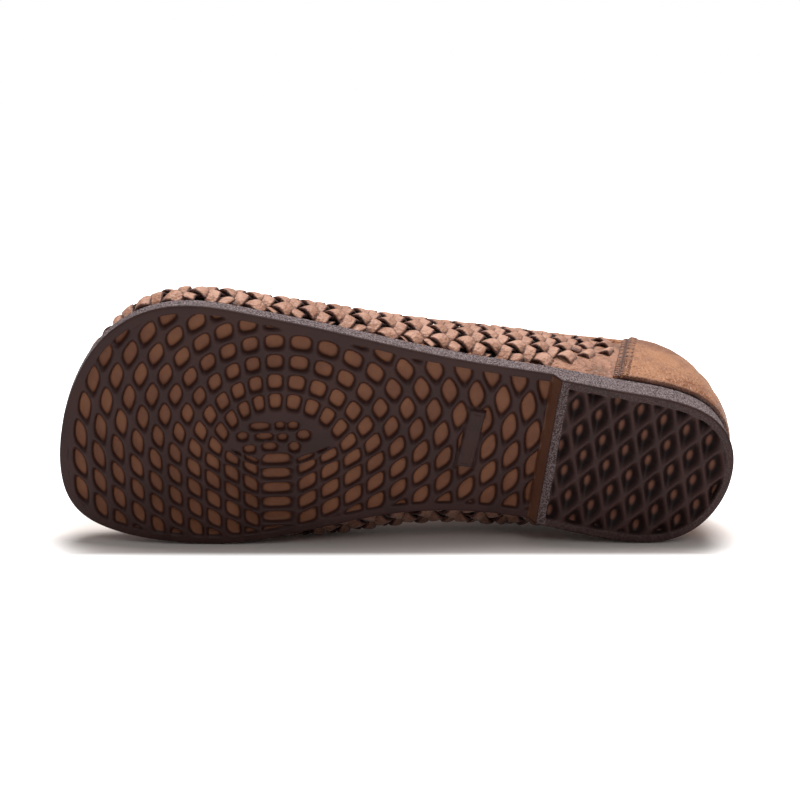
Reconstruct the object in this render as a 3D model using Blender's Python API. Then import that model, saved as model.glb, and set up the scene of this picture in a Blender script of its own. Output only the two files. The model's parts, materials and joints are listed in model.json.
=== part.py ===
"""Woven loafer, left shoe, lying on its medial side.

The shoe is modelled standing, in its own frame: x runs from the back of the heel to the toe,
y points to the lateral (outer) side and z goes up from the ground. All sizes there are in
millimetres. At the end every piece is turned and moved as one, so that the shoe rests on the
medial edge of its sole and on the side of its upper, and is written in metres.

Pieces: outsole (one moulding with its heel), insole, upper (one hollow woven wall) and the
heel counter that is sewn over the back of the upper.
"""
import math

import bmesh
import bpy
import numpy as np
from mathutils import Matrix, Vector

# ---------------------------------------------------------------- driving sizes, millimetres
MM = 0.001                # metres in a millimetre
GAP = 0.3                 # air between two pieces that touch
SOLE_LENGTH = 251.0       # back of the heel to the toe, along the sole
BREAST = 72.0             # front of the heel, from its back
BREAST_SLOPE = 1.5        # half the run of the sloped front face of the heel
WALL = 2.4                # thickness of the woven upper
FEATHER = 0.7             # the upper stands this far inside the edge of the sole
COUNTER_WALL = 1.6        # thickness of the heel counter
COUNTER_FOOT = 44.5       # front edge of the counter, at the sole
COUNTER_HEAD = 34.0       # front edge of the counter, at the collar
COUNTER_GAP = 0.5         # air between the upper and the counter
COUNTER_REACH = 0.97      # share of the upper's rise that the counter covers, down and up
INSOLE_THICK = 3.0
INSOLE_ROOM = 0.5         # more air round the insole, inside the foot of the upper

# The upper is a set of half arches. Each springs from a point of the sole's edge and climbs
# towards a point of the spine, a line along the middle of the shoe.
SPINE_START = (32.0, 0.5)
SPINE_END = (208.0, -5.0)
THROAT = 124.0            # front end of the foot opening, on the spine
OPEN_FROM = 66.0          # in front of this the opening narrows towards the throat
OPEN_SIDE = 0.80          # half width of the opening over half width of the shoe
OPEN_HEEL = 0.86          # the same at the back of the heel
OPEN_ROUND = 2.6          # how round the opening is at the throat
ARCH_POWER = 2.06         # 2 is an ellipse, more is squarer
TUCK_POWER = 1.7          # how the upper curls under, from its widest line to the sole

# Edge of the sole, seen from above. A row for each station along the shoe.
SOLE_EDGE = (
    # x, lateral y, medial y
    (0.0, 2.0, 2.0),
    (8.0, 21.2, -19.9),
    (20.0, 27.5, -28.0),
    (34.0, 29.9, -30.0),
    (50.0, 31.0, -29.0),
    (72.0, 32.9, -26.5),
    (95.0, 34.4, -25.5),
    (120.0, 37.0, -27.6),
    (145.0, 40.6, -34.4),
    (165.0, 43.2, -41.6),
    (185.0, 45.2, -46.8),
    (203.0, 46.2, -48.8),
    (218.0, 43.6, -49.1),
    (230.0, 36.9, -48.0),
    (240.0, 25.6, -44.7),
    (247.0, 10.0, -37.2),
    (251.0, -16.0, -16.0),
)

# Widest line of the upper: its place seen from above, and its height over the sole. It bulges
# past the sole, most of all at the arch.
BODY_EDGE = (
    # x, lateral y, medial y, lateral height, medial height
    (-1.0, 1.5, 1.5, 12.5, 12.5),
    (8.0, 22.8, -20.8, 12.5, 12.5),
    (20.0, 29.2, -27.9, 12.3, 12.5),
    (34.0, 31.4, -30.6, 12.0, 13.0),
    (50.0, 33.0, -34.2, 11.5, 14.0),
    (72.0, 35.2, -39.4, 11.0, 15.0),
    (95.0, 37.4, -40.6, 10.3, 15.5),
    (120.0, 39.6, -43.2, 9.6, 14.5),
    (145.0, 42.6, -47.0, 8.7, 10.5),
    (165.0, 44.8, -48.4, 8.0, 8.5),
    (185.0, 46.4, -48.2, 7.4, 8.0),
    (203.0, 47.2, -48.6, 6.8, 7.4),
    (218.0, 44.4, -48.6, 6.2, 6.4),
    (230.0, 37.8, -47.6, 5.6, 5.7),
    (240.0, 26.6, -44.4, 5.3, 5.3),
    (247.0, 11.0, -37.2, 5.1, 5.1),
    (251.6, -16.0, -16.0, 5.0, 5.0),
)

# Side view of the sole: height of the tread and of the top face above the ground.
SOLE_HEIGHTS = (
    # x, tread in front of the heel, top face
    (0.0, 4.6, 13.6),
    (40.0, 4.6, 13.1),
    (72.0, 4.6, 12.9),
    (100.0, 3.2, 11.6),
    (125.0, 1.2, 9.6),
    (148.0, 0.0, 8.0),
    (188.0, 0.0, 7.0),
    (215.0, 2.3, 8.6),
    (235.0, 6.9, 12.6),
    (251.0, 12.2, 17.4),
)

# Side view of the upper: its top line, carried on over the foot opening.
BODY_CREST = (
    # x, crest over the ground
    (0.0, 104.0),
    (32.0, 97.0),
    (60.0, 87.0),
    (90.0, 77.5),
    (122.0, 66.5),
    (150.0, 57.0),
    (180.0, 49.2),
    (205.0, 44.5),
    (230.0, 41.5),
    (252.0, 39.5),
)

# Forefoot tread: wells between ribs. Nested arches count outwards from a core near the ball,
# spokes cross them, and both turn into straight lines below the core.
CORE_X = 171.0
CORE_Y = -13.5
CORE_TURN = math.radians(-8.2)
ARCH_TOEWARD = 7.0        # pitch of the arches towards the toe
ARCH_HEELWARD = 8.5       # and towards the heel
ARCH_ACROSS = 7.8         # and towards the lateral edge
ARCH_FIRST = 2.35         # size of arch 0, in pitches
SPOKES_FIRST = 5.7        # spokes in a quarter turn of arch 0
SPOKES_MORE = 0.655       # and how many more in each next arch
LEG_PITCH = 7.5           # pitch of the spokes below the core, on arch 0
LEG_MORE = 0.35           # and how much more on each next arch
BAR_PITCH = 5.9           # cross bars inside the core
BAR_HALF = 5.4            # half length of a cross bar
CORE_BARS = 6
CORE_CLEAR = 0.75         # the two inner arches keep their wells past this share of a quarter turn
CORE_CELLS = (
    # toeward, lateral, half length, half width: small cells between the bars and arch 1
    (2.2, 8.0, 2.4, 1.3),
    (9.6, 7.2, 1.9, 1.3),
    (-6.9, 7.6, 1.7, 1.6),
    (4.1, 12.1, 2.9, 1.1),
    (12.1, 12.4, 1.7, 1.3),
    (-2.6, 11.6, 1.5, 1.1),
    (-10.4, 12.2, 2.1, 1.6),
    (5.6, 16.2, 3.3, 1.2),
    (-1.8, 16.4, 1.5, 1.1),
    (-6.6, 16.2, 1.7, 1.2),
)
RIB = 2.3                 # width of the ribs
WELL_DEPTH = 2.2
WELL_FLOOR = 0.80         # floor of a well over its mouth
RIM = 3.2                 # plain band round the tread
SHOULDER = 0.4            # the top face stands this far inside the edge
STRIP = 1.5               # flat strip between the breast and the first wells
PLATE_X = 98.8            # bare plate at the waist
PLATE_Y = 6.4
PLATE_LONG = 23.0
PLATE_WIDE = 6.5

# Heel tread: deep pits on a slanted lattice.
PIT_X = 38.5
PIT_Y = -3.7
PIT_STEP_A = (3.2, 10.0)
PIT_STEP_B = (-6.1, 6.9)
PIT_RIB = 1.7
PIT_DEPTH = 4.2
PIT_FLOOR = 0.42

LINES = 26                # half arches on each side of the upper
TUCK_LEVELS = 2           # rows below the widest line
RISE_LEVELS = 8           # rows above it
STATIONS = 28             # cross sections of the sole
COUNTER_LINES = 21        # lines across the heel counter
FRONT_STEPS = 12          # corrections that place its front edge
EDGE_POINTS = 90          # points of the sole's edge that bound the tread
CUT_RANGE = (-10.0, 40.0) # heights that the plan cutters span
ARCHES = 16               # arches and spokes laid out before those off the sole are dropped
CORE_SPOKES = 9           # spokes each way on the innermost arch
PITS = 8                  # rows of heel pits laid out each way
SHARP = 30.0              # edges that turn more than this, in degrees, stay crisp

# Densities for the balance of the shoe, g/cm3.
RUBBER = 1.1
LEATHER = 0.85


# ---------------------------------------------------------------- curves through short tables
def spline(xs, ys, period=0.0):
    """Cubic through the points, with even curvature; closed on itself where period is given."""
    xs = np.asarray(xs, float)
    ys = np.asarray(ys, float)
    if period:
        xs = np.append(xs, xs[0] + period)
        ys = np.append(ys, ys[0])
    step = np.diff(xs)
    slope = np.diff(ys) / step
    count = len(xs)
    system = np.eye(count)
    right = np.zeros(count)
    for k in range(1, count - 1):
        system[k, k - 1:k + 2] = step[k - 1], 2 * (step[k - 1] + step[k]), step[k]
        right[k] = 6 * (slope[k] - slope[k - 1])
    if period:
        system[0, [0, 1, -2, -1]] = 2 * step[0], step[0], step[-1], 2 * step[-1]
        right[0] = 6 * (slope[0] - slope[-1])
        system[-1, 0] = -1.0
    bend = np.linalg.solve(system, right)

    def curve(x):
        x = np.asarray(x, float)
        x = (x - xs[0]) % period + xs[0] if period else np.clip(x, xs[0], xs[-1])
        k = np.clip(np.searchsorted(xs, x, side="right") - 1, 0, count - 2)
        left = (xs[k + 1] - x) / step[k]
        rest = 1.0 - left
        bow = (left ** 3 - left) * bend[k] + (rest ** 3 - rest) * bend[k + 1]
        return left * ys[k] + rest * ys[k + 1] + bow * step[k] ** 2 / 6

    return curve


def column(table, k):
    """Open curve of column k of a table against its first column."""
    rows = np.array(table)
    return spline(rows[:, 0], rows[:, k])


def around(table, k):
    """Closed curve of columns k (lateral) and k + 1 (medial) of a table.

    Its argument is an angle: 0 at the heel, pi at the toe, lateral side first.
    """
    rows = np.array(table)
    length = rows[-1, 0] - rows[0, 0]
    turn = np.arccos(1 - 2 * (rows[:, 0] - rows[0, 0]) / length)
    angles = np.concatenate([turn, 2 * math.pi - turn[-2:0:-1]])
    return spline(angles, np.concatenate([rows[:, k], rows[-2:0:-1, k + 1]]), 2 * math.pi)


def closed_edge(table):
    """Closed plan curve of the first three columns of a table, which can be drawn in by inset."""
    start = table[0][0]
    length = table[-1][0] - start
    across = around(table, 1)

    def point(angle):
        return np.stack([start + length * (1 - np.cos(angle)) / 2, across(angle)], axis=-1)

    def edge(angle, inset=0.0):
        angle = np.asarray(angle, float)
        along = point(angle + 0.002) - point(angle - 0.002)
        along /= np.linalg.norm(along, axis=-1, keepdims=True)
        outward = np.stack([-along[..., 1], along[..., 0]], axis=-1)
        return point(angle) - outward * inset

    return edge


sole_edge = closed_edge(SOLE_EDGE)
body_edge = closed_edge(BODY_EDGE)
belly_height = around(BODY_EDGE, 3)
crest_height = column(BODY_CREST, 1)
waist_tread = column(SOLE_HEIGHTS, 1)
sole_top = column(SOLE_HEIGHTS, 2)


def tread_height(x):
    """Lowest face of the sole above the ground: the heel, its sloped breast, waist, forefoot."""
    rise = np.clip((np.asarray(x, float) - BREAST + BREAST_SLOPE) / (2 * BREAST_SLOPE), 0, 1)
    return np.maximum(waist_tread(x), 0.0) * rise


# ---------------------------------------------------------------- form of the upper
def spine_point(angle):
    """Point of the spine that the half arch at this angle climbs towards, seen from above."""
    share = (1 - np.cos(angle))[..., None] / 2
    return np.array(SPINE_START) * (1 - share) + np.array(SPINE_END) * share


def opening(angle):
    """Half width of the foot opening over that of the shoe, 0 in front of the throat."""
    x = spine_point(angle)[..., 0]
    ahead = np.clip((x - OPEN_FROM) / (THROAT - OPEN_FROM), 0, 1)
    behind = np.clip((OPEN_FROM - x) / (OPEN_FROM - SPINE_START[0]), 0, 1)
    side = OPEN_SIDE * (1 - ahead ** OPEN_ROUND) ** (1 / OPEN_ROUND)
    return side + (OPEN_HEEL - OPEN_SIDE) * behind ** 2


def body_point(angle, rise, stand=0.0):
    """Surface of the upper, moved out by stand.

    rise runs from -1 at the sole through 0 at the widest line to 1 at the collar or the spine.
    """
    angle, rise = np.broadcast_arrays(np.asarray(angle, float), np.asarray(rise, float))
    foot = sole_edge(angle, FEATHER - stand)
    wide = body_edge(angle, -stand)
    spine = spine_point(angle)
    floor = sole_top(foot[..., 0]) + GAP
    belly = floor + belly_height(angle)
    gape = opening(angle)
    limit = np.arctan2((1 - gape ** ARCH_POWER) ** (1 / ARCH_POWER), gape)
    turn = limit * np.clip(rise, 0, 1)
    reach = (np.cos(turn) ** ARCH_POWER + np.sin(turn) ** ARCH_POWER) ** (-1 / ARCH_POWER)
    outwards = np.clip(reach * np.cos(turn), 0, 1)[..., None]
    upwards = reach * np.sin(turn)
    high = spine + (wide - spine) * outwards
    crest = crest_height(high[..., 0]) + stand
    under = np.clip(-rise, 0, 1)
    low = wide + (foot - wide) * (under ** TUCK_POWER)[..., None]
    below = (rise < 0)[..., None]
    plan = np.where(below, low, high)
    height = np.where(rise < 0, belly + (floor - belly) * under, belly + (crest - belly) * upwards)
    return np.concatenate([plan, height[..., None]], axis=-1)


# ---------------------------------------------------------------- meshes
def new_object(name, points, faces):
    """Mesh object from points in millimetres, its faces turned outwards."""
    mesh = bpy.data.meshes.new(name)
    mesh.from_pydata([tuple(p) for p in np.asarray(points, float)], [], faces)
    work = bmesh.new()
    work.from_mesh(mesh)
    bmesh.ops.recalc_face_normals(work, faces=work.faces)
    work.to_mesh(mesh)
    work.free()
    thing = bpy.data.objects.new(name, mesh)
    bpy.context.scene.collection.objects.link(thing)
    return thing


def plate(name, edge, below, above, inset_below=0.0, inset_above=0.0, extra=()):
    """Closed plate inside a closed edge: two strips of cross chords, joined round the side."""
    turns = np.sort(np.append(np.linspace(0, math.pi, STATIONS + 1), extra))
    lateral = turns[1:-1]
    loop = np.concatenate([[0.0], lateral, [math.pi], 2 * math.pi - lateral[::-1]])
    count = len(loop)
    lower = edge(loop, inset_below)
    upper = edge(loop, inset_above)
    points = np.vstack([
        np.column_stack([lower, below(lower[:, 0])]),
        np.column_stack([upper, above(upper[:, 0])]),
    ])
    faces = []
    for base in (0, count):
        for k in range(count // 2):
            a, b = base + k, base + k + 1
            c, d = base + (count - k - 1) % count, base + (count - k) % count
            faces.append([v for i, v in enumerate((a, b, c, d)) if v not in (a, b, c, d)[:i]])
    for k in range(count):
        after = (k + 1) % count
        faces.append([k, after, count + after, count + k])
    return new_object(name, points, faces)


def prism(name, outline, low, high):
    """Upright prism over a plan outline."""
    count = len(outline)
    points = [(x, y, low) for x, y in outline] + [(x, y, high) for x, y in outline]
    faces = [list(range(count)), list(range(count, 2 * count))]
    faces += [[k, (k + 1) % count, count + (k + 1) % count, count + k] for k in range(count)]
    return new_object(name, points, faces)


def cut(target, tool, operation="DIFFERENCE"):
    """Boolean of two objects, applied; the tool is removed."""
    step = target.modifiers.new(operation.lower(), "BOOLEAN")
    step.object = tool
    step.operation = operation
    step.solver = "EXACT"
    depsgraph = bpy.context.evaluated_depsgraph_get()
    result = bpy.data.meshes.new_from_object(target.evaluated_get(depsgraph))
    target.modifiers.clear()
    target.data = result
    bpy.data.objects.remove(tool)


# ---------------------------------------------------------------- tread
def arch_point(arch, spoke):
    """Plan place of an arch and a spoke, both counted in fractions, in the shoe's frame."""
    pitch = ARCH_HEELWARD if spoke >= 0 else ARCH_TOEWARD
    quarter = SPOKES_FIRST + SPOKES_MORE * arch
    turn = min(abs(spoke) / quarter, 1.0) * math.pi / 2
    leg = max(abs(spoke) - quarter, 0.0) * (LEG_PITCH + LEG_MORE * arch)
    size = arch + ARCH_FIRST
    along = -math.copysign(size * pitch * math.sin(turn), spoke)
    across = size * ARCH_ACROSS * math.cos(turn) - leg
    x = CORE_X + along * math.cos(CORE_TURN) - across * math.sin(CORE_TURN)
    y = CORE_Y + along * math.sin(CORE_TURN) + across * math.cos(CORE_TURN)
    return np.array([x, y])


def arch_well(arch, spoke):
    """Eight-cornered outline of one well, with half a rib left on every side."""
    pitch = ARCH_HEELWARD if spoke >= 0 else ARCH_TOEWARD
    step = np.linalg.norm(arch_point(arch, spoke + 0.5) - arch_point(arch, spoke - 0.5))
    half_arch = 0.5 - RIB / 2 / pitch
    half_spoke = 0.5 - RIB / 2 / step
    corners = []
    for side_arch, side_spoke in ((1, 0.5), (0.5, 1), (-0.5, 1), (-1, 0.5),
                                  (-1, -0.5), (-0.5, -1), (0.5, -1), (1, -0.5)):
        corners.append(arch_point(arch + side_arch * half_arch, spoke + side_spoke * half_spoke))
    return np.array(corners)


def core_place(toeward, lateral):
    """Plan place, in the shoe's frame, of a place counted from the core."""
    return (CORE_X + toeward * math.cos(CORE_TURN) - lateral * math.sin(CORE_TURN),
            CORE_Y + toeward * math.sin(CORE_TURN) + lateral * math.cos(CORE_TURN))


def core_bar(number):
    """Outline of one cross bar well in the core."""
    half_wide = (BAR_PITCH - RIB) / 2
    middle = -(number - 0.5) * BAR_PITCH
    return np.array([core_place(end * BAR_HALF, middle + side * half_wide)
                     for end, side in ((1, 1), (-1, 1), (-1, -1), (1, -1))])


def core_cell(toeward, lateral, half_long, half_wide):
    """Six-cornered outline of one small cell of the core."""
    return np.array([core_place(toeward + end * half_long, lateral + side * half_wide)
                     for end, side in ((1, 0), (0.6, 1), (-0.6, 1), (-1, 0), (-0.6, -1), (0.6, -1))])


def pit(first, second):
    """Outline of one pit of the heel."""
    a = np.array(PIT_STEP_A)
    b = np.array(PIT_STEP_B)
    area = abs(a[0] * b[1] - a[1] * b[0])
    half_a = 0.5 - PIT_RIB / 2 * np.linalg.norm(b) / area
    half_b = 0.5 - PIT_RIB / 2 * np.linalg.norm(a) / area
    middle = np.array([PIT_X, PIT_Y]) + first * a + second * b
    return np.array([middle + side_a * half_a * a + side_b * half_b * b
                     for side_a, side_b in ((1, 1), (1, -1), (-1, -1), (-1, 1))])


def inside(point, loop):
    """Whether a plan point is inside a closed loop of plan points."""
    x, y = point
    ahead = np.roll(loop, -1, axis=0)
    crosses = (loop[:, 1] > y) != (ahead[:, 1] > y)
    rise = np.where(crosses, ahead[:, 1] - loop[:, 1], 1.0)
    at = loop[:, 0] + (y - loop[:, 1]) / rise * (ahead[:, 0] - loop[:, 0])
    return bool(np.count_nonzero(crosses & (x < at)) % 2)


def well_cutter(name, outlines, depth, floor_scale):
    """One mesh of separate plugs: straight below the tread, tapered up to the wells' floors."""
    points = []
    faces = []
    for outline in outlines:
        middle = outline.mean(axis=0)
        face = float(tread_height(middle[0]))
        count = len(outline)
        rings = [range(len(points) + k * count, len(points) + (k + 1) * count) for k in range(3)]
        for z, scale in ((face - WELL_DEPTH, 1.0), (face, 1.0), (face + depth, floor_scale)):
            points += [(*(middle + (corner - middle) * scale), z) for corner in outline]
        faces += [list(rings[0]), list(rings[2])]
        for low, high in (rings[:2], rings[1:]):
            faces += [[low[k - 1], low[k], high[k], high[k - 1]] for k in range(count)]
    return new_object(name, points, faces)


def band_outline(low_x, high_x):
    """The sole's edge inside its rim, kept between two cross lines."""
    loop = sole_edge(np.linspace(0, 2 * math.pi, EDGE_POINTS, endpoint=False), RIM)
    kept = loop[(loop[:, 0] > low_x) & (loop[:, 0] < high_x)]
    if low_x > 0:
        lateral = kept[kept[:, 1] > 0]
        medial = kept[kept[:, 1] <= 0]
        start_y = np.interp(low_x, lateral[:, 0], lateral[:, 1])
        end_y = np.interp(low_x, medial[::-1, 0], medial[::-1, 1])
        return np.vstack([[low_x, start_y], kept, [low_x, end_y]])
    turned = np.roll(kept, -int(np.argmax(np.diff(kept[:, 1]) < -RIM * 6)) - 1, axis=0)
    return np.vstack([turned, [high_x, turned[-1, 1]], [high_x, turned[0, 1]]])


def forefoot_wells(field):
    """Outlines of all forefoot wells whose middles lie in the field."""
    wells = []
    for arch in range(-1, ARCHES):
        reach = ARCHES if arch >= 0 else CORE_SPOKES
        keep = CORE_CLEAR * (SPOKES_FIRST + SPOKES_MORE * arch) if arch < 1 else 0.0
        wells += [arch_well(arch, spoke) for spoke in range(-reach, reach + 1) if abs(spoke) >= keep]
    wells += [core_bar(number) for number in range(CORE_BARS)]
    wells += [core_cell(*row) for row in CORE_CELLS]
    return [well for well in wells if inside(well.mean(axis=0), field)]


def make_outsole():
    """One rubber moulding: waist and forefoot, stepped heel, side wall, rim and tread wells."""
    breast_turns = [math.acos(1 - 2 * (BREAST + side * BREAST_SLOPE) / SOLE_LENGTH)
                    for side in (-1, 1)]
    outsole = plate("outsole", sole_edge, tread_height, sole_top, 0.0, SHOULDER, breast_turns)
    field = band_outline(BREAST + BREAST_SLOPE + STRIP, SOLE_LENGTH)
    wells = well_cutter("forefoot_wells", forefoot_wells(field), WELL_DEPTH, WELL_FLOOR)
    cut(wells, prism("forefoot_field", field, *CUT_RANGE), "INTERSECT")
    cut(wells, prism("plate_field", plate_outline(), *CUT_RANGE))
    cut(outsole, wells)
    heel = band_outline(-1.0, BREAST - BREAST_SLOPE - RIM)
    outlines = [pit(a, b) for a in range(-PITS, PITS + 1) for b in range(-PITS, PITS + 1)]
    outlines = [one for one in outlines if inside(one.mean(axis=0), heel)]
    pits = well_cutter("heel_pits", outlines, PIT_DEPTH, PIT_FLOOR)
    cut(pits, prism("heel_field", heel, *CUT_RANGE), "INTERSECT")
    cut(outsole, pits)
    return outsole


def plate_outline():
    """Bare plate between the wells of the waist."""
    across = np.array([-math.sin(CORE_TURN), math.cos(CORE_TURN)])
    along = np.array([math.cos(CORE_TURN), math.sin(CORE_TURN)])
    middle = np.array([PLATE_X, PLATE_Y])
    return np.array([middle + side * PLATE_LONG / 2 * across + end * PLATE_WIDE / 2 * along
                     for side, end in ((1, 1), (1, -1), (-1, -1), (-1, 1))])


def make_insole():
    """Foot bed on the outsole, inside the foot of the upper."""
    inset = FEATHER + WALL + GAP + INSOLE_ROOM

    def below(x):
        return sole_top(x) + GAP

    def above(x):
        return sole_top(x) + GAP + INSOLE_THICK

    return plate("insole", sole_edge, below, above, inset, inset)


# ---------------------------------------------------------------- upper and counter
def make_upper():
    """Hollow wall: an outer and an inner sheet, joined round the collar and round the sole.

    In front of the throat the two halves of a sheet meet on the spine and share its points.
    """
    half = np.linspace(0, math.pi, LINES + 1)
    angles = np.concatenate([half, 2 * math.pi - half[-2:0:-1]])
    rises = np.concatenate([np.linspace(-1, 0, TUCK_LEVELS + 1)[:-1],
                            np.linspace(0, 1, RISE_LEVELS + 1)])
    count = len(angles)
    levels = len(rises)
    closed = opening(angles) < 1e-6
    points = []
    number = np.zeros((2, count, levels), int)
    for sheet, stand in enumerate((0.0, -WALL)):
        grid = body_point(angles[:, None], rises[None, :], stand)
        for line in range(count):
            for level in range(levels):
                twin = (count - line) % count
                if level == levels - 1 and closed[line] and twin < line:
                    number[sheet, line, level] = number[sheet, twin, level]
                    continue
                number[sheet, line, level] = len(points)
                points.append(grid[line, level])
    faces = []
    for line in range(count):
        after = (line + 1) % count
        for sheet in (0, 1):
            for level in range(levels - 1):
                ring = [number[sheet, line, level], number[sheet, after, level],
                        number[sheet, after, level + 1], number[sheet, line, level + 1]]
                faces.append(ring)
        faces.append([number[0, line, 0], number[0, after, 0],
                      number[1, after, 0], number[1, line, 0]])
        if not (closed[line] and closed[after]):
            faces.append([number[0, line, -1], number[0, after, -1],
                          number[1, after, -1], number[1, line, -1]])
    return new_object("upper", points, faces)


def angle_of(x, rise, side):
    """Angle at which the line of this rise passes x, on the lateral (1) or medial (-1) side."""
    angle = np.arccos(1 - 2 * x / SOLE_LENGTH)
    for _ in range(FRONT_STEPS):
        miss = body_point(side * angle, rise)[..., 0] - x
        angle = angle - miss / (SOLE_LENGTH / 2 * np.sin(angle))
    return angle


def make_counter():
    """Leather counter round the back: cut between two forms a little larger than the upper."""
    turns = np.linspace(-1, 1, COUNTER_LINES)
    rises = np.concatenate([np.linspace(-COUNTER_REACH, 0, 3)[:-1],
                            np.linspace(0, COUNTER_REACH, 7)])
    share = (rises - rises[0]) / (rises[-1] - rises[0])
    front = COUNTER_FOOT + (COUNTER_HEAD - COUNTER_FOOT) * share
    reach = np.where(turns[:, None] > 0, angle_of(front, rises, 1), angle_of(front, rises, -1))
    angles = turns[:, None] * reach
    levels = len(rises)
    count = len(turns)
    points = np.vstack([body_point(angles, rises[None, :], stand).reshape(-1, 3)
                        for stand in (COUNTER_GAP + COUNTER_WALL, COUNTER_GAP)])
    number = np.arange(2 * count * levels).reshape(2, count, levels)
    faces = []
    for line in range(count - 1):
        for sheet in (0, 1):
            for level in range(levels - 1):
                faces.append([number[sheet, line, level], number[sheet, line + 1, level],
                              number[sheet, line + 1, level + 1], number[sheet, line, level + 1]])
        for level in (0, levels - 1):
            faces.append([number[0, line, level], number[0, line + 1, level],
                          number[1, line + 1, level], number[1, line, level]])
    for line in (0, count - 1):
        for level in range(levels - 1):
            faces.append([number[0, line, level], number[0, line, level + 1],
                          number[1, line, level + 1], number[1, line, level]])
    return new_object("heel_counter", points, faces)


# ---------------------------------------------------------------- materials
def finish(thing, name, colour, roughness):
    """Give a piece its own Principled material."""
    material = bpy.data.materials.new(name)
    material.use_nodes = True
    shader = material.node_tree.nodes["Principled BSDF"]
    shader.inputs["Base Color"].default_value = (*colour, 1.0)
    shader.inputs["Roughness"].default_value = roughness
    shader.inputs["Metallic"].default_value = 0.0
    material.diffuse_color = (*colour, 1.0)
    thing.data.materials.clear()
    thing.data.materials.append(material)
    thing.data.shade_smooth()
    thing.data.set_sharp_from_angle(angle=math.radians(SHARP))


# ---------------------------------------------------------------- rest on the medial side
def mass_and_centre(thing, density):
    """Mass (g) and centre (mm) of a closed mesh."""
    mesh = thing.data
    mesh.calc_loop_triangles()
    points = np.empty(len(mesh.vertices) * 3)
    mesh.vertices.foreach_get("co", points)
    points = points.reshape(-1, 3)
    corners = np.array([tri.vertices for tri in mesh.loop_triangles])
    a, b, c = (points[corners[:, k]] for k in range(3))
    volumes = np.einsum("ij,ij->i", a, np.cross(b, c)) / 6
    centre = (volumes[:, None] * (a + b + c) / 4).sum(axis=0) / volumes.sum()
    return volumes.sum() / 1000 * density, centre


def medial_rest(things, centre):
    """Plane that the shoe rests on: the hull face on the medial side below its mass centre."""
    hull = bmesh.new()
    for thing in things:
        for vertex in thing.data.vertices:
            hull.verts.new(vertex.co)
    result = bmesh.ops.convex_hull(hull, input=hull.verts)
    best = None
    for face in [item for item in result["geom"] if isinstance(item, bmesh.types.BMFace)]:
        down = face.normal
        if down.dot(face.calc_center_median() - centre) < 0:
            down = -down
        shadow = centre + down * down.dot(face.verts[0].co - centre)
        if bmesh.geometry.intersect_face_point(face, shadow):
            if best is None or down.y < best[0].y:
                best = (down.copy(), [v.co.copy() for v in face.verts])
    hull.free()
    return best


def lay_down(things, centre):
    """Turn and move all pieces as one: medial side on the floor, toe towards -X, sole to -Y."""
    down, contact = medial_rest(things, centre)
    heelward = Vector((-1.0, 0.0, 0.0))
    heelward = (heelward - down * heelward.dot(down)).normalized()
    up = -down
    turn = Matrix((heelward, up.cross(heelward), up))
    everything = [turn @ vertex.co for thing in things for vertex in thing.data.vertices]
    low = Vector([min(p[k] for p in everything) for k in range(3)])
    high = Vector([max(p[k] for p in everything) for k in range(3)])
    shift = Vector((-(low.x + high.x) / 2, -(low.y + high.y) / 2, -low.z))
    move = Matrix.Translation(shift) @ turn.to_4x4()
    for thing in things:
        thing.data.transform(Matrix.Scale(MM, 4) @ move)
    return contact


for old in list(bpy.data.objects):
    bpy.data.objects.remove(old)

outsole = make_outsole()
insole = make_insole()
upper = make_upper()
counter = make_counter()
finish(outsole, "moulded_rubber", (0.060, 0.040, 0.038), 0.62)
finish(insole, "insole_leather", (0.42, 0.25, 0.14), 0.6)
finish(upper, "woven_leather", (0.45, 0.20, 0.085), 0.5)
finish(counter, "counter_leather", (0.36, 0.135, 0.045), 0.45)

pieces = ((outsole, RUBBER), (insole, LEATHER), (upper, LEATHER), (counter, LEATHER))
weighed = [mass_and_centre(thing, density) for thing, density in pieces]
total = sum(mass for mass, _ in weighed)
balance = sum(mass * centre for mass, centre in weighed) / total
contact = lay_down([thing for thing, _ in pieces], Vector(balance))
print("mass in g:", round(total, 1), "centre:", balance.round(1), "rests on:", contact)
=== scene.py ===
# %% [markdown]
# # A woven loafer on its side
# This lesson dresses the left shoe of a pair of woven loafers. The solid model gives the sizes and
# the place of the four main pieces: outsole, insole, upper and heel counter. Here they get their
# finish: a sole with soft tread wells, an upper woven from leather strips, a creased counter,
# seams, a lining and a bound collar. They could be sculpted by hand, but then no two would fit
# each other. Instead every surface is worked out with numpy from a few named sizes that all of
# them share.

# %% Load the frame
import json
import math

import bmesh
import bpy
import numpy as np
from mathutils import Matrix, Vector


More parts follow.
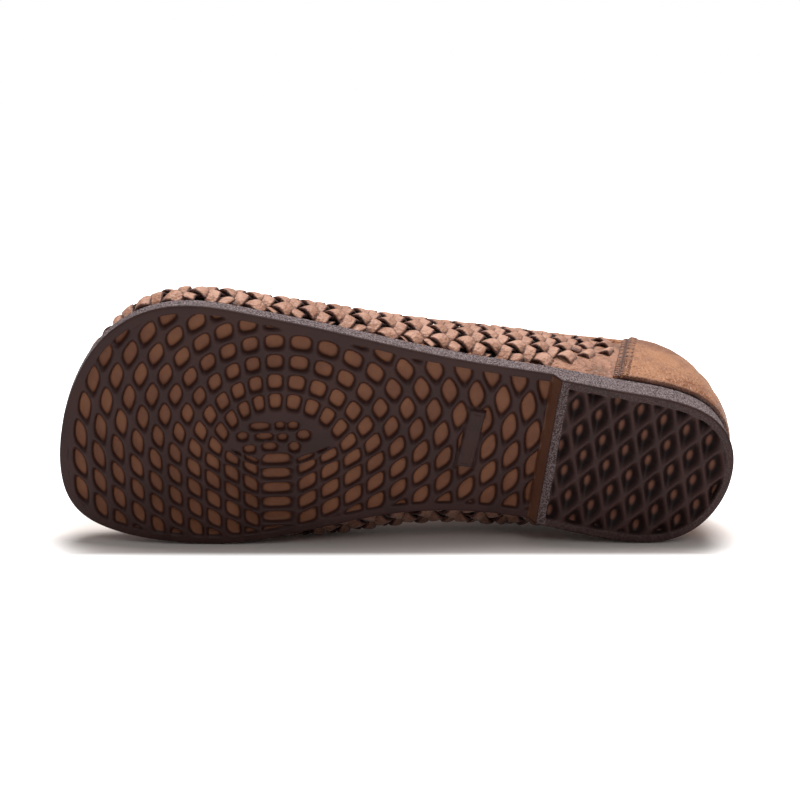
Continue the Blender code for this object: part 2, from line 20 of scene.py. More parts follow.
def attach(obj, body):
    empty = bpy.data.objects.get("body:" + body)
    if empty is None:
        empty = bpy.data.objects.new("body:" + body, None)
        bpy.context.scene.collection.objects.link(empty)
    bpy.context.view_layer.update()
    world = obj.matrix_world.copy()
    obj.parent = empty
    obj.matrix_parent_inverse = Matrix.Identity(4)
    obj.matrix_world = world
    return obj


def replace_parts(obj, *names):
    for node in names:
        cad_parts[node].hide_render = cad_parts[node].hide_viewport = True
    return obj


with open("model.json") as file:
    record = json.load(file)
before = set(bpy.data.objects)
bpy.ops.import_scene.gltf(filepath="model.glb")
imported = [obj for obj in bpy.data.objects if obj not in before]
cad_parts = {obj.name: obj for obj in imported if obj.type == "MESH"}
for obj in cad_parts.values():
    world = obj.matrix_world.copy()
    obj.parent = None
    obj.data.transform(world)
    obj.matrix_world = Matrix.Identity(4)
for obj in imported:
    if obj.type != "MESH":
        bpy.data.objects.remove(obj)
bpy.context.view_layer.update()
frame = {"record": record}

# %% [markdown]
# ## The shoe's own frame
# A shoemaker measures a shoe standing: x from the back of the heel to the toe, y to the lateral
# (outer) side, z up from the ground, in millimetres. The model lies on its medial side, so one
# rigid move takes shoe millimetres to the row's metres. It could be tuned by eye, but two flat
# spots of the tread, under the heel and under the ball, are known in both frames and fix it
# exactly.

# %% From the shoe's frame to the row's
MM = 0.001
HEEL_SPOT = np.array([36.0, -28.3, 0.0])     # the record's heel_tread, in the shoe's frame
BALL_SPOT = np.array([170.0, -41.8, 0.0])    # the record's ball_tread

mounts = {mount["name"]: mount for mount in frame["record"]["mounts"]}
heel_row = np.array(mounts["heel_tread"]["pos_m"])
ball_row = np.array(mounts["ball_tread"]["pos_m"])
up_row = -np.array(mounts["heel_tread"]["axis"])
up_row /= np.linalg.norm(up_row)
run_row = ball_row - heel_row
run_row -= up_row * (run_row @ up_row)
run_row /= np.linalg.norm(run_row)
run_shoe = (BALL_SPOT - HEEL_SPOT) / np.linalg.norm(BALL_SPOT - HEEL_SPOT)
side_row = np.cross(up_row, run_row)
TOEWARD = run_row * run_shoe[0] - side_row * run_shoe[1]
LATERAL = run_row * run_shoe[1] + side_row * run_shoe[0]
TURN = np.stack([TOEWARD, LATERAL, up_row], axis=1)
SHIFT = heel_row - TURN @ HEEL_SPOT * MM


def to_row(points):
    """Row-frame metres of shoe-frame millimetres: turned, scaled and shifted."""
    return np.asarray(points, float) @ TURN.T * MM + SHIFT


print("toe points to", TOEWARD.round(3), "and the sole's up to", up_row.round(3))

# %% [markdown]
# ## The last
# A shoe is built round a last, and its form can be told by a few curves: the edge of the sole, the
# widest line of the upper, and the side views of both. Each is a short table with a smooth curve
# through it. The upper is then a set of half arches: each springs from the sole's edge, bulges
# past it, and climbs to the spine, a line along the middle of the shoe. A subdivision cage would
# give a similar form, but on arches any piece of leather can ask where it lies and which way is
# out.

# %% Curves through short tables
SOLE_LENGTH = 251.0
BREAST = 72.0            # front of the heel
BREAST_SLOPE = 1.5       # half the run of its sloped front face
WALL = 2.4               # the upper's thickness
FEATHER = 0.7            # the upper stands this far inside the edge of the sole
GAP = 0.3                # between the sole's top and what stands on it
SPINE_START = (32.0, 0.5)
SPINE_END = (208.0, -5.0)
THROAT = 124.0           # front end of the foot opening
OPEN_FROM = 66.0         # its widest place
OPEN_SIDE = 0.80         # its half width over the shoe's, there
OPEN_HEEL = 0.86         # and at the heel
OPEN_ROUND = 2.6         # superellipse power towards the throat
ARCH_POWER = 2.06        # superellipse power of an arch over its widest line
TUCK_POWER = 1.7         # how late an arch curls in under that line
CHORD_ANGLE = 0.002      # half the chord that stands for a tangent, radians
BALL_ANGLE, WAIST_ANGLE = 2.15, 1.3

SOLE_EDGE = np.array((
    # x, lateral y, medial y
    (0.0, 2.0, 2.0),
    (8.0, 21.2, -19.9),
    (20.0, 27.5, -28.0),
    (34.0, 29.9, -30.0),
    (50.0, 31.0, -29.0),
    (72.0, 32.9, -26.5),
    (95.0, 34.4, -25.5),
    (120.0, 37.0, -27.6),
    (145.0, 40.6, -34.4),
    (165.0, 43.2, -41.6),
    (185.0, 45.2, -46.8),
    (203.0, 46.2, -48.8),
    (218.0, 43.6, -49.1),
    (230.0, 36.9, -48.0),
    (240.0, 25.6, -44.7),
    (247.0, 10.0, -37.2),
    (251.0, -16.0, -16.0),
))
BODY_EDGE = np.array((
    # x, lateral y, medial y, lateral height, medial height
    (-1.0, 1.5, 1.5, 12.5, 12.5),
    (8.0, 22.8, -20.8, 12.5, 12.5),
    (20.0, 29.2, -27.9, 12.3, 12.5),
    (34.0, 31.4, -30.6, 12.0, 13.0),
    (50.0, 33.0, -34.2, 11.5, 14.0),
    (72.0, 35.2, -39.4, 11.0, 15.0),
    (95.0, 37.4, -40.6, 10.3, 15.5),
    (120.0, 39.6, -43.2, 9.6, 14.5),
    (145.0, 42.6, -47.0, 8.7, 10.5),
    (165.0, 44.8, -48.4, 8.0, 8.5),
    (185.0, 46.4, -48.2, 7.4, 8.0),
    (203.0, 47.2, -48.6, 6.8, 7.4),
    (218.0, 44.4, -48.6, 6.2, 6.4),
    (230.0, 37.8, -47.6, 5.6, 5.7),
    (240.0, 26.6, -44.4, 5.3, 5.3),
    (247.0, 11.0, -37.2, 5.1, 5.1),
    (251.6, -16.0, -16.0, 5.0, 5.0),
))
SOLE_HEIGHTS = np.array((
    # x, tread in front of the heel, top face
    (0.0, 4.6, 13.6),
    (40.0, 4.6, 13.1),
    (72.0, 4.6, 12.9),
    (100.0, 3.2, 11.6),
    (125.0, 1.2, 9.6),
    (148.0, 0.0, 8.0),
    (188.0, 0.0, 7.0),
    (215.0, 2.3, 8.6),
    (235.0, 6.9, 12.6),
    (251.0, 12.2, 17.4),
))
BODY_CREST = np.array((
    # x, crest over the ground
    (0.0, 104.0),
    (32.0, 97.0),
    (60.0, 87.0),
    (90.0, 77.5),
    (122.0, 66.5),
    (150.0, 57.0),
    (180.0, 49.2),
    (205.0, 44.5),
    (230.0, 41.5),
    (252.0, 39.5),
))


def spline(xs, ys, period=0.0):
    """Cubic through the points with even curvature: its bends solve one tridiagonal system.

    With a period it closes on itself.
    """
    xs = np.asarray(xs, float)
    ys = np.asarray(ys, float)
    if period:
        xs = np.append(xs, xs[0] + period)
        ys = np.append(ys, ys[0])
    step = np.diff(xs)
    slope = np.diff(ys) / step
    count = len(xs)
    system = np.eye(count)
    right = np.zeros(count)
    for k in range(1, count - 1):
        system[k, k - 1:k + 2] = step[k - 1], 2 * (step[k - 1] + step[k]), step[k]
        right[k] = 6 * (slope[k] - slope[k - 1])
    if period:
        system[0, [0, 1, -2, -1]] = 2 * step[0], step[0], step[-1], 2 * step[-1]
        right[0] = 6 * (slope[0] - slope[-1])
        system[-1, 0] = -1.0
    bend = np.linalg.solve(system, right)

    def curve(x):
        """Height at x: between two points, a straight line plus a cubic bow for their bends."""
        x = np.asarray(x, float)
        x = (x - xs[0]) % period + xs[0] if period else np.clip(x, xs[0], xs[-1])
        k = np.clip(np.searchsorted(xs, x, side="right") - 1, 0, count - 2)
        left = (xs[k + 1] - x) / step[k]
        rest = 1.0 - left
        bow = (left ** 3 - left) * bend[k] + (rest ** 3 - rest) * bend[k + 1]
        return left * ys[k] + rest * ys[k + 1] + bow * step[k] ** 2 / 6

    return curve


def around(table, k):
    """Closed curve of columns k (lateral) and k + 1 (medial) against an angle: 0 heel, pi toe."""
    length = table[-1, 0] - table[0, 0]
    turn = np.arccos(1 - 2 * (table[:, 0] - table[0, 0]) / length)
    angles = np.concatenate([turn, 2 * math.pi - turn[-2:0:-1]])
    return spline(angles, np.concatenate([table[:, k], table[-2:0:-1, k + 1]]), 2 * math.pi)


def closed_edge(table):
    """Plan curve of a table: x = start + length (1 - cos angle) / 2, drawn in square to itself."""
    start = table[0, 0]
    length = table[-1, 0] - start
    across = around(table, 1)

    def point(angle):
        """Plan point: a cosine share of the length, and the table's width there."""
        return np.stack([start + length * (1 - np.cos(angle)) / 2, across(angle)], axis=-1)

    def edge(angle, inset=0.0):
        """Plan point drawn in by inset, square to a short chord of the curve."""
        angle = np.asarray(angle, float)
        along = point(angle + CHORD_ANGLE) - point(angle - CHORD_ANGLE)
        along /= np.linalg.norm(along, axis=-1, keepdims=True)
        outward = np.stack([-along[..., 1], along[..., 0]], axis=-1)
        return point(angle) - outward * inset

    return edge


sole_edge = closed_edge(SOLE_EDGE)
body_edge = closed_edge(BODY_EDGE)
belly_height = around(BODY_EDGE, 3)
crest_height = spline(BODY_CREST[:, 0], BODY_CREST[:, 1])
waist_tread = spline(SOLE_HEIGHTS[:, 0], SOLE_HEIGHTS[:, 1])
sole_top = spline(SOLE_HEIGHTS[:, 0], SOLE_HEIGHTS[:, 2])


def tread_height(x):
    """Lowest face of the sole: the waist's curve in front of the breast, the ground behind it."""
    rise = np.clip((np.asarray(x, float) - BREAST + BREAST_SLOPE) / (2 * BREAST_SLOPE), 0, 1)
    return np.maximum(waist_tread(x), 0.0) * rise


def spine_point(angle):
    """Point of the spine that the arch at this angle climbs to: a cosine share of its line."""
    share = (1 - np.cos(angle))[..., None] / 2
    return np.array(SPINE_START) * (1 - share) + np.array(SPINE_END) * share


def opening(angle):
    """Half width of the foot opening over that of the shoe: a superellipse towards the throat."""
    x = spine_point(angle)[..., 0]
    ahead = np.clip((x - OPEN_FROM) / (THROAT - OPEN_FROM), 0, 1)
    behind = np.clip((OPEN_FROM - x) / (OPEN_FROM - SPINE_START[0]), 0, 1)
    side = OPEN_SIDE * (1 - ahead ** OPEN_ROUND) ** (1 / OPEN_ROUND)
    return side + (OPEN_HEEL - OPEN_SIDE) * behind ** 2


def collar_climb(angle):
    """Climb at which the arch meets the collar; 1, the spine, in front of the throat."""
    gape = opening(np.asarray(angle, float))
    return np.arctan2((1 - gape ** ARCH_POWER) ** (1 / ARCH_POWER), gape) / (math.pi / 2)


def last_point(angle, climb, stand=0.0):
    """Surface of the upper, moved out by stand.

    climb is -1 at the sole, 0 on the widest line and 1 on the spine. Above the widest line the
    arch is a superellipse; below it, it curls in to the sole by a power of the depth.
    """
    angle, climb = np.broadcast_arrays(np.asarray(angle, float), np.asarray(climb, float))
    foot = sole_edge(angle, FEATHER - stand)
    wide = body_edge(angle, -stand)
    spine = spine_point(angle)
    floor = sole_top(foot[..., 0]) + GAP
    belly = floor + belly_height(angle)
    turn = np.clip(climb, 0, 1) * math.pi / 2
    reach = (np.cos(turn) ** ARCH_POWER + np.sin(turn) ** ARCH_POWER) ** (-1 / ARCH_POWER)
    outwards = np.clip(reach * np.cos(turn), 0, 1)[..., None]
    high = spine + (wide - spine) * outwards
    crest = crest_height(high[..., 0]) + stand
    under = np.clip(-climb, 0, 1)
    low = wide + (foot - wide) * (under ** TUCK_POWER)[..., None]
    plan = np.where((climb < 0)[..., None], low, high)
    height = np.where(climb < 0, belly + (floor - belly) * under,
                      belly + (crest - belly) * reach * np.sin(turn))
    return np.concatenate([plan, height[..., None]], axis=-1)


def sole_width(angle):
    """Width of the sole between the two edge points of an angle."""
    return float(np.ptp(sole_edge(np.array([angle, 2 * math.pi - angle]))[:, 1]))


print(f"sole's width: ball {sole_width(BALL_ANGLE):.1f} mm, waist {sole_width(WAIST_ANGLE):.1f} mm")

# %% [markdown]
# ## From arrays to meshes
# Each piece below ends as one array of points and one of four-cornered faces. They could be added
# to the mesh one by one, but foreach_set writes them whole and much faster. The doubled points of
# seams and poles are then merged, and the faces turned outwards. Values that follow the surface,
# such as how deep a point lies in a tread well, go into named marks that the materials read. Most
# leather pieces are shells: two copies of a stretch of the last, one further out than the other.

# %% Mesh helpers
MERGE = 0.002            # points closer than this, in mm, are one


def finish_piece(name, mesh, merge=0.0):
    """Object of a mesh on the root body: doubles merged, faces turned outwards, shaded smooth."""
    work = bmesh.new()
    work.from_mesh(mesh)
    if merge:
        bmesh.ops.remove_doubles(work, verts=work.verts, dist=merge * MM)
    bmesh.ops.recalc_face_normals(work, faces=work.faces)
    work.to_mesh(mesh)
    work.free()
    mesh.shade_smooth()
    piece = bpy.data.objects.new(name, mesh)
    bpy.context.scene.collection.objects.link(piece)
    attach(piece, "root")
    faces = sum(len(polygon.vertices) - 2 for polygon in mesh.polygons)
    print(f"{name}: {len(mesh.vertices)} points, {faces} triangles")
    return piece


def add_marks(mesh, marks):
    """Named values for the materials, one for each point."""
    for key, values in marks.items():
        layer = mesh.attributes.new(key, "FLOAT", "POINT")
        layer.data.foreach_set("value", np.asarray(values, np.float32).ravel())


def make_piece(name, points, quads, marks=None, merge=MERGE):
    """Piece from shoe-frame points (mm) and quads, with its marks."""
    quads = np.asarray(quads, np.int32)
    mesh = bpy.data.meshes.new(name)
    mesh.vertices.add(len(points))
    mesh.vertices.foreach_set("co", to_row(points).astype(np.float32).ravel())
    mesh.loops.add(quads.size)
    mesh.loops.foreach_set("vertex_index", quads.ravel())
    mesh.polygons.add(len(quads))
    mesh.polygons.foreach_set("loop_start", np.arange(0, quads.size, 4, dtype=np.int32))
    mesh.update(calc_edges=True)
    add_marks(mesh, marks or {})
    return finish_piece(name, mesh, merge)


def grid_quads(rows, columns, start=0, wrap=False):
    """Quads of a grid of points, numbered row by row; wrap joins its last column to its first."""
    number = np.arange(rows * columns).reshape(rows, columns) + start
    if wrap:
        number = np.concatenate([number, number[:, :1]], axis=1)
    return np.stack([number[:-1, :-1], number[:-1, 1:], number[1:, 1:], number[1:, :-1]],
                    axis=-1).reshape(-1, 4)


def ring_quads(first, second):
    """Quads between two closed rings of the same number of points."""
    return np.stack([first, np.roll(first, -1), np.roll(second, -1), second], axis=-1)


def closed_quads(rows, columns):
    """Quads of a grid that closes on itself along both of its ways, as a roll round a path does."""
    number = np.arange(rows * columns).reshape(rows, columns)
    ahead = np.roll(number, -1, axis=0)
    return np.stack([number, np.roll(number, -1, axis=1), np.roll(ahead, -1, axis=1), ahead],
                    axis=-1).reshape(-1, 4)


def soft_step(low, high, x):
    """0 below low, 1 above high, and a smooth cubic between; low over high turns it round."""
    share = np.clip((x - low) / (high - low), 0, 1)
    return share * share * (3 - 2 * share)


def shell(name, outer, inner, marks=None, merge=MERGE):
    """Closed leather piece from an outer and an inner grid of one shape, joined at its rims."""
    rows, columns = outer.shape[:2]
    half = rows * columns
    number = np.arange(half).reshape(rows, columns)
    quads = [grid_quads(rows, columns), grid_quads(rows, columns, half)[:, ::-1]]
    for rim in (number[0], number[-1], number[:, 0], number[:, -1]):
        quads.append(np.stack([rim[:-1], rim[1:], rim[1:] + half, rim[:-1] + half], axis=-1))
    doubled = {key: np.tile(np.broadcast_to(values, (rows, columns)).ravel(), 2)
               for key, values in (marks or {}).items()}
    return make_piece(name, np.concatenate([outer.reshape(-1, 3), inner.reshape(-1, 3)]),
                      np.concatenate(quads), doubled, merge)


def skin(angle, climb):
    """Place on the last and the step out of it there that one mm of stand makes."""
    base = last_point(angle, climb)
    return base, last_point(angle, climb, 1.0) - base


# %% [markdown]
# ## Materials
# Real leather is never one flat colour: its grain catches the light, its dye is mottled, and cut
# edges are dark. A picture of leather would need a flat map of every piece. Noise on the object's
# own coordinates needs none and runs on through seams. Grain and patina are shader node groups,
# built once and used by each leather with its own values. The groups only hand out colours and
# heights, and the Principled shader stays in the material.

# %% Node helpers
def wire(tree, source, target):
    """Link two sockets of one tree."""
    tree.links.new(source, target)


def node(tree, kind, **settings):
    """New node of a tree: settings are its properties, and a dict named inputs its sockets."""
    made = tree.nodes.new(kind)
    for key, value in settings.items():
        if key == "inputs":
            for socket, number in value.items():
                made.inputs[socket].default_value = number
        else:
            setattr(made, key, value)
    return made


def noise(tree, where, scale, detail=3.0, roughness=0.55):
    """Noise of a scale per metre on the object's own coordinates."""
    made = node(tree, "ShaderNodeTexNoise",
                inputs={"Scale": scale, "Detail": detail, "Roughness": roughness})
    wire(tree, where, made.inputs["Vector"])
    return made.outputs["Fac"]


def ramp(tree, value, low, high, start=0.0, end=1.0):
    """Value taken from low..high to start..end, smoothly and clamped."""
    made = node(tree, "ShaderNodeMapRange", interpolation_type="SMOOTHSTEP",
                inputs={"From Min": low, "From Max": high, "To Min": start, "To Max": end})
    wire(tree, value, made.inputs["Value"])
    return made.outputs["Result"]


def maths(tree, operation, first, second):
    """One arithmetic node; either side is a socket or a number."""
    made = node(tree, "ShaderNodeMath", operation=operation)
    for k, side in enumerate((first, second)):
        if isinstance(side, (int, float)):
            made.inputs[k].default_value = side
        else:
            wire(tree, side, made.inputs[k])
    return made.outputs[0]


def blend(tree, share, first, second, mode="MIX"):
    """Colour between two colours, each a socket or a tuple."""
    made = node(tree, "ShaderNodeMix", data_type="RGBA", blend_type=mode, clamp_factor=True)
    if isinstance(share, (int, float)):
        made.inputs[0].default_value = share
    else:
        wire(tree, share, made.inputs[0])
    for socket, side in ((6, first), (7, second)):
        if isinstance(side, tuple):
            made.inputs[socket].default_value = (*side, 1.0)
        else:
            wire(tree, side, made.inputs[socket])
    return made.outputs[2]


# %% The shared groups
PEBBLES = 950.0          # the five textures' scales, in features per metre
PORES = 2600.0
CREASES_FINE = 210.0
MOTTLE_BROAD = 55.0
MOTTLE_FINE = 420.0
# The same tint is the colour of painted shade, where a leather's shade mark darkens it.
EDGE_AND_SHADE_TINT = (0.18, 0.10, 0.07)     # what a cut edge keeps of the leather's colour


def new_group(name, inputs, outputs):
    """Empty shader group with float or colour sockets; returns it with its two end nodes."""
    tree = bpy.data.node_groups.new(name, "ShaderNodeTree")
    for direction, sockets in (("INPUT", inputs), ("OUTPUT", outputs)):
        for key, kind in sockets.items():
            tree.interface.new_socket(name=key, in_out=direction, socket_type="NodeSocket" + kind)
    return tree, tree.nodes.new("NodeGroupInput"), tree.nodes.new("NodeGroupOutput")


def object_place(tree):
    """Object coordinates, in metres."""
    return tree.nodes.new("ShaderNodeTexCoord").outputs["Object"]


def build_grain():
    """Leather grain: pebbles of a cell texture, fine pores, and creases of a coarser noise."""
    tree, start, end = new_group("leather_grain", {"Pebble": "Float", "Crease": "Float"},
                                 {"Height": "Float"})
    where = object_place(tree)
    cells = node(tree, "ShaderNodeTexVoronoi", feature="SMOOTH_F1",
                 inputs={"Scale": PEBBLES, "Smoothness": 0.6, "Randomness": 1.0})
    wire(tree, where, cells.inputs["Vector"])
    pebble = maths(tree, "MULTIPLY", ramp(tree, cells.outputs["Distance"], 0.15, 0.75, 1.0, 0.0),
                   start.outputs["Pebble"])
    pores = noise(tree, where, PORES, 2.0)
    creases = noise(tree, where, CREASES_FINE, 5.0, 0.62)
    crease = maths(tree, "MULTIPLY", ramp(tree, creases, 0.35, 0.62), start.outputs["Crease"])
    height = maths(tree, "ADD", maths(tree, "ADD", pebble, crease),
                   maths(tree, "MULTIPLY", pores, 0.35))
    wire(tree, height, end.inputs["Height"])
    return tree


def build_patina():
    """Leather colour: broad and fine mottling between a deep and a light tone.

    It goes dark on cut edges and in shaded places.
    """
    tree, start, end = new_group("leather_patina", {"Light": "Color", "Deep": "Color",
                                                    "Edge": "Float", "Shade": "Float"},
                                 {"Color": "Color", "Mottle": "Float"})
    where = object_place(tree)
    broad = noise(tree, where, MOTTLE_BROAD, 4.0, 0.6)
    fine = noise(tree, where, MOTTLE_FINE, 4.0, 0.65)
    mottle = maths(tree, "ADD", maths(tree, "MULTIPLY", broad, 0.6),
                   maths(tree, "MULTIPLY", fine, 0.4))
    share = ramp(tree, mottle, 0.40, 0.60)
    tone = blend(tree, share, start.outputs["Deep"], start.outputs["Light"])
    dark = blend(tree, 1.0, tone, EDGE_AND_SHADE_TINT, "MULTIPLY")
    edged = blend(tree, start.outputs["Edge"], tone, dark)
    shaded = blend(tree, start.outputs["Shade"], edged, dark)
    wire(tree, shaded, end.inputs["Color"])
    wire(tree, share, end.inputs["Mottle"])
    return tree


GRAIN = build_grain()
PATINA = build_patina()
print("node groups:", [g.name for g in bpy.data.node_groups])


# %% Leathers
def new_material(name):
    """Material, its tree and its Principled shader."""
    material = bpy.data.materials.new(name)
    material.use_nodes = True
    return material, material.node_tree, material.node_tree.nodes["Principled BSDF"]


def add_bump(tree, shader, height, strength, distance):
    """Bump of a height, feeding the shader's normal; distance is in metres."""
    bump = node(tree, "ShaderNodeBump", inputs={"Strength": strength, "Distance": distance})
    wire(tree, height, bump.inputs["Height"])
    wire(tree, bump.outputs["Normal"], shader.inputs["Normal"])


def place_group(tree, group, **values):
    """Group node in a material, with number or colour values, or sockets to link."""
    made = tree.nodes.new("ShaderNodeGroup")
    made.node_tree = group
    for key, value in values.items():
        if isinstance(value, tuple):
            made.inputs[key].default_value = (*value, 1.0)
        elif isinstance(value, (int, float)):
            made.inputs[key].default_value = value
        else:
            wire(tree, value, made.inputs[key])
    return made


def attribute(tree, name):
    """Named value of the surface."""
    return node(tree, "ShaderNodeAttribute", attribute_name=name).outputs["Fac"]


def leather(name, light, deep, rough=0.5, pebble=0.6, crease=0.8, depth=0.00012, edges=False,
            sheen=0.15):
    """Leather: patina colour, rougher where it is paler, and its grain as a bump.

    edges is for pieces that carry the marks edge and shade.
    """
    material, tree, shader = new_material(name)
    grain = place_group(tree, GRAIN, Pebble=pebble, Crease=crease)
    values = {"Light": light, "Deep": deep}
    if edges:
        values["Edge"] = attribute(tree, "edge")
        values["Shade"] = attribute(tree, "shade")
    patina = place_group(tree, PATINA, **values)
    wire(tree, patina.outputs["Color"], shader.inputs["Base Color"])
    wire(tree, ramp(tree, patina.outputs["Mottle"], 0.0, 1.0, rough - 0.08, rough + 0.1),
         shader.inputs["Roughness"])
    add_bump(tree, shader, grain.outputs["Height"], 1.0, depth)
    shader.inputs["Specular IOR Level"].default_value = 0.45
    shader.inputs["Sheen Weight"].default_value = sheen
    shader.inputs["Sheen Roughness"].default_value = 0.5
    return material


STRIP_LEATHER = leather("strip_leather", (0.60, 0.32, 0.22), (0.40, 0.18, 0.105), pebble=0.9,
                        crease=1.2, depth=0.00022, edges=True)
PANEL_LEATHER = leather("panel_leather", (0.46, 0.215, 0.13), (0.17, 0.065, 0.03), pebble=0.9,
                        crease=1.8, depth=0.0003, edges=True)
# Its edge and shade marks darken it: rims, the counter's foot, and the straps' painted shade.
COUNTER_LEATHER = leather("counter_leather_edge_and_shade", (0.47, 0.20, 0.088), (0.30, 0.105, 0.040),
                          rough=0.38, pebble=0.9, crease=1.5, depth=0.00028, edges=True)
# Near black: painted shade that makes the holes of the weave read dark.
LINING_SHADE_LEATHER = leather("lining_painted_shade", (0.030, 0.015, 0.009), (0.018, 0.009, 0.006),
                         rough=0.85, sheen=0.0)
BED_LEATHER = leather("bed_leather", (0.50, 0.31, 0.18), (0.40, 0.23, 0.125), rough=0.62)
RAW_LEATHER = leather("raw_leather_edge", (0.42, 0.17, 0.06), (0.22, 0.075, 0.025), rough=0.8,
                      pebble=0.8, crease=1.4, depth=0.0003)

print("leathers:", [made.name for made in (STRIP_LEATHER, PANEL_LEATHER, COUNTER_LEATHER,
                                           LINING_SHADE_LEATHER, BED_LEATHER, RAW_LEATHER)])


# %% Thread and rubber
RUBBER_TONES = {
    # darkest and palest colour of each place on the sole
    "skin": ((0.028, 0.010, 0.008), (0.040, 0.016, 0.013)),
    # painted_sheen: the side wall's pale speckle, a painted sheen of the light on its grain
    "painted_sheen": ((0.030, 0.018, 0.019), (0.40, 0.315, 0.32)),
    "floor": ((0.125, 0.043, 0.019), (0.190, 0.074, 0.036)),
}
WELL_OUTLINE = (0.030, 0.009, 0.006)
# The pits' walls are painted darker than the skin: painted shade in the pits.
PIT_WALL_SHADE = (0.014, 0.0065, 0.006)
PIT_FLOOR = (0.17, 0.068, 0.043)


def thread(name, colour):
    """Twisted thread: rough, with a fine fuzz in its colour and its height."""
    material, tree, shader = new_material(name)
    fuzz = noise(tree, object_place(tree), 3500.0, 2.0)
    wire(tree, blend(tree, fuzz, tuple(0.6 * c for c in colour), colour),
         shader.inputs["Base Color"])
    add_bump(tree, shader, fuzz, 0.8, 0.0001)
    shader.inputs["Roughness"].default_value = 0.85
    return material


def rubber():
    """Moulded rubber, from the outsole's marks: well and pit are depths, side marks pebbled rubber.

    The skin is purple brown. A well goes through a dark outline to an amber floor, and a pit
    through walls darkened as painted shade to a pale spot. The side wall is pebbled, with a pale
    speckle of painted sheen.
    """
    material, tree, shader = new_material("tread_rubber")
    where = object_place(tree)
    well, pit, side = (attribute(tree, name) for name in ("well", "pit", "side"))
    broad = noise(tree, where, 60.0, 4.0, 0.6)
    speckle = noise(tree, where, 1800.0, 3.0, 0.7)
    skin_tone = blend(tree, ramp(tree, broad, 0.35, 0.65), *RUBBER_TONES["skin"])
    painted_sheen_tone = blend(tree, ramp(tree, speckle, 0.42, 0.60), *RUBBER_TONES["painted_sheen"])
    colour = blend(tree, maths(tree, "MULTIPLY", side, 0.75), skin_tone, painted_sheen_tone)
    floor = blend(tree, ramp(tree, broad, 0.3, 0.7), *RUBBER_TONES["floor"])
    for depth, low, high, tone in ((well, 0.10, 0.5, WELL_OUTLINE), (well, 0.60, 1.0, floor),
                                   (pit, 0.10, 0.5, PIT_WALL_SHADE), (pit, 0.72, 0.98, PIT_FLOOR)):
        colour = blend(tree, ramp(tree, depth, low, high), colour, tone)
    wire(tree, colour, shader.inputs["Base Color"])
    wire(tree, maths(tree, "ADD", maths(tree, "MULTIPLY", side, 0.22),
                     ramp(tree, broad, 0.3, 0.7, 0.46, 0.58)), shader.inputs["Roughness"])
    grit = node(tree, "ShaderNodeTexVoronoi", feature="F1", inputs={"Scale": 1900.0})
    wire(tree, where, grit.inputs["Vector"])
    fine = maths(tree, "MULTIPLY", noise(tree, where, 900.0, 2.0), 0.12)
    height = maths(tree, "ADD", maths(tree, "MULTIPLY", grit.outputs["Distance"], side), fine)
    add_bump(tree, shader, height, 0.9, 0.00035)
    shader.inputs["Specular IOR Level"].default_value = 0.22
    return material


DARK_THREAD = thread("dark_thread", (0.035, 0.013, 0.008))
TREAD_RUBBER = rubber()
print("other materials:", DARK_THREAD.name, TREAD_RUBBER.name)

# %% [markdown]
# ## The tread
# The forefoot tread is a net of ribs with soft wells between them. Nested arches count outwards
# from a core under the ball of the foot, and spokes cross them. In the core there is a ladder of
# cross bars, and the heel has deep slanted pits on a plain lattice. The wells could be cut out one
# by one, but then each would need its own rounding. Here the rule that lays them out is undone for
# any point, so the depth of the tread is one formula over the whole sole, soft edges and all.

# %% Depth of the tread
CORE = np.array([171.0, -13.5])    # where the arches count from
CORE_TURN = math.radians(-8.2)
ARCH_TOEWARD = 7.0       # from arch to arch, towards the toe
ARCH_HEELWARD = 8.5
ARCH_ACROSS = 7.8
ARCH_FIRST = 2.35        # size of arch 0, in arches from the core
SPOKES_FIRST = 5.7       # spokes in a quarter turn of arch 0
SPOKES_MORE = 0.655      # and how many each arch adds
LEG_PITCH = 7.5          # from spoke to spoke on the arches' straight legs
LEG_MORE = 0.35
LEG_BLEND = 14.0         # the spokes reach their spacing on the curve this far up
CORE_SIZE = 0.85         # inside this the ladder takes over
BAR_PITCH = 5.9          # from bar to bar of the ladder
BAR_HALF = 5.4           # half the length of the wells between them
RIB = 1.9
RIB_MORE = 0.6           # how much wider the outer ribs are
WELL_POWER = 3.4         # a well's corners: 2 is an ellipse, more is squarer
WELL_SOFTER = 0.6        # taken off it in the outer arches
CORE_POWER = 2.3         # corners of the small cells in the core
WELL_DEPTH = 2.2
WELL_SLOPE = (1.36, 0.74)          # shares of a well between which it goes down
RIM = 3.2                # width of the plain rim round the wells
CORE_CLEAR = math.radians(67.5)    # turn past which the two inner arches keep their wells
CORE_CELLS = np.array((
    # toeward, lateral, half length, half width: small cells between the bars and the net
    (2.2, 8.0, 2.4, 1.3),
    (9.6, 7.2, 1.9, 1.3),
    (-6.9, 7.6, 1.7, 1.6),
    (4.1, 12.1, 2.9, 1.1),
    (12.1, 12.4, 1.7, 1.3),
    (-2.6, 11.6, 1.5, 1.1),
    (-10.4, 12.2, 2.1, 1.6),
    (5.6, 16.2, 3.3, 1.2),
    (-1.8, 16.4, 1.5, 1.1),
    (-6.6, 16.2, 1.7, 1.2),
))
PLATE = np.array([100.1, 4.3])     # middle of the bare plaque in front of the heel
PLATE_TURN = math.radians(5.0)
PLATE_HALF = np.array([2.8, 11.3])
PLATE_RISE = 0.45
PLATE_LINE = 0.35        # depth of the line just inside its edge
MOAT = (1.6, 1.0)        # the hollow round it ends between these distances
PIT = np.array([38.5, -3.7])       # one pit of the heel, and the steps to its two neighbours
PIT_STEP_A = np.array([3.2, 10.0])
PIT_STEP_B = np.array([-6.1, 6.9])
PIT_RIB = 1.0            # width of the ribs between the pits
PIT_DEPTH = 4.2
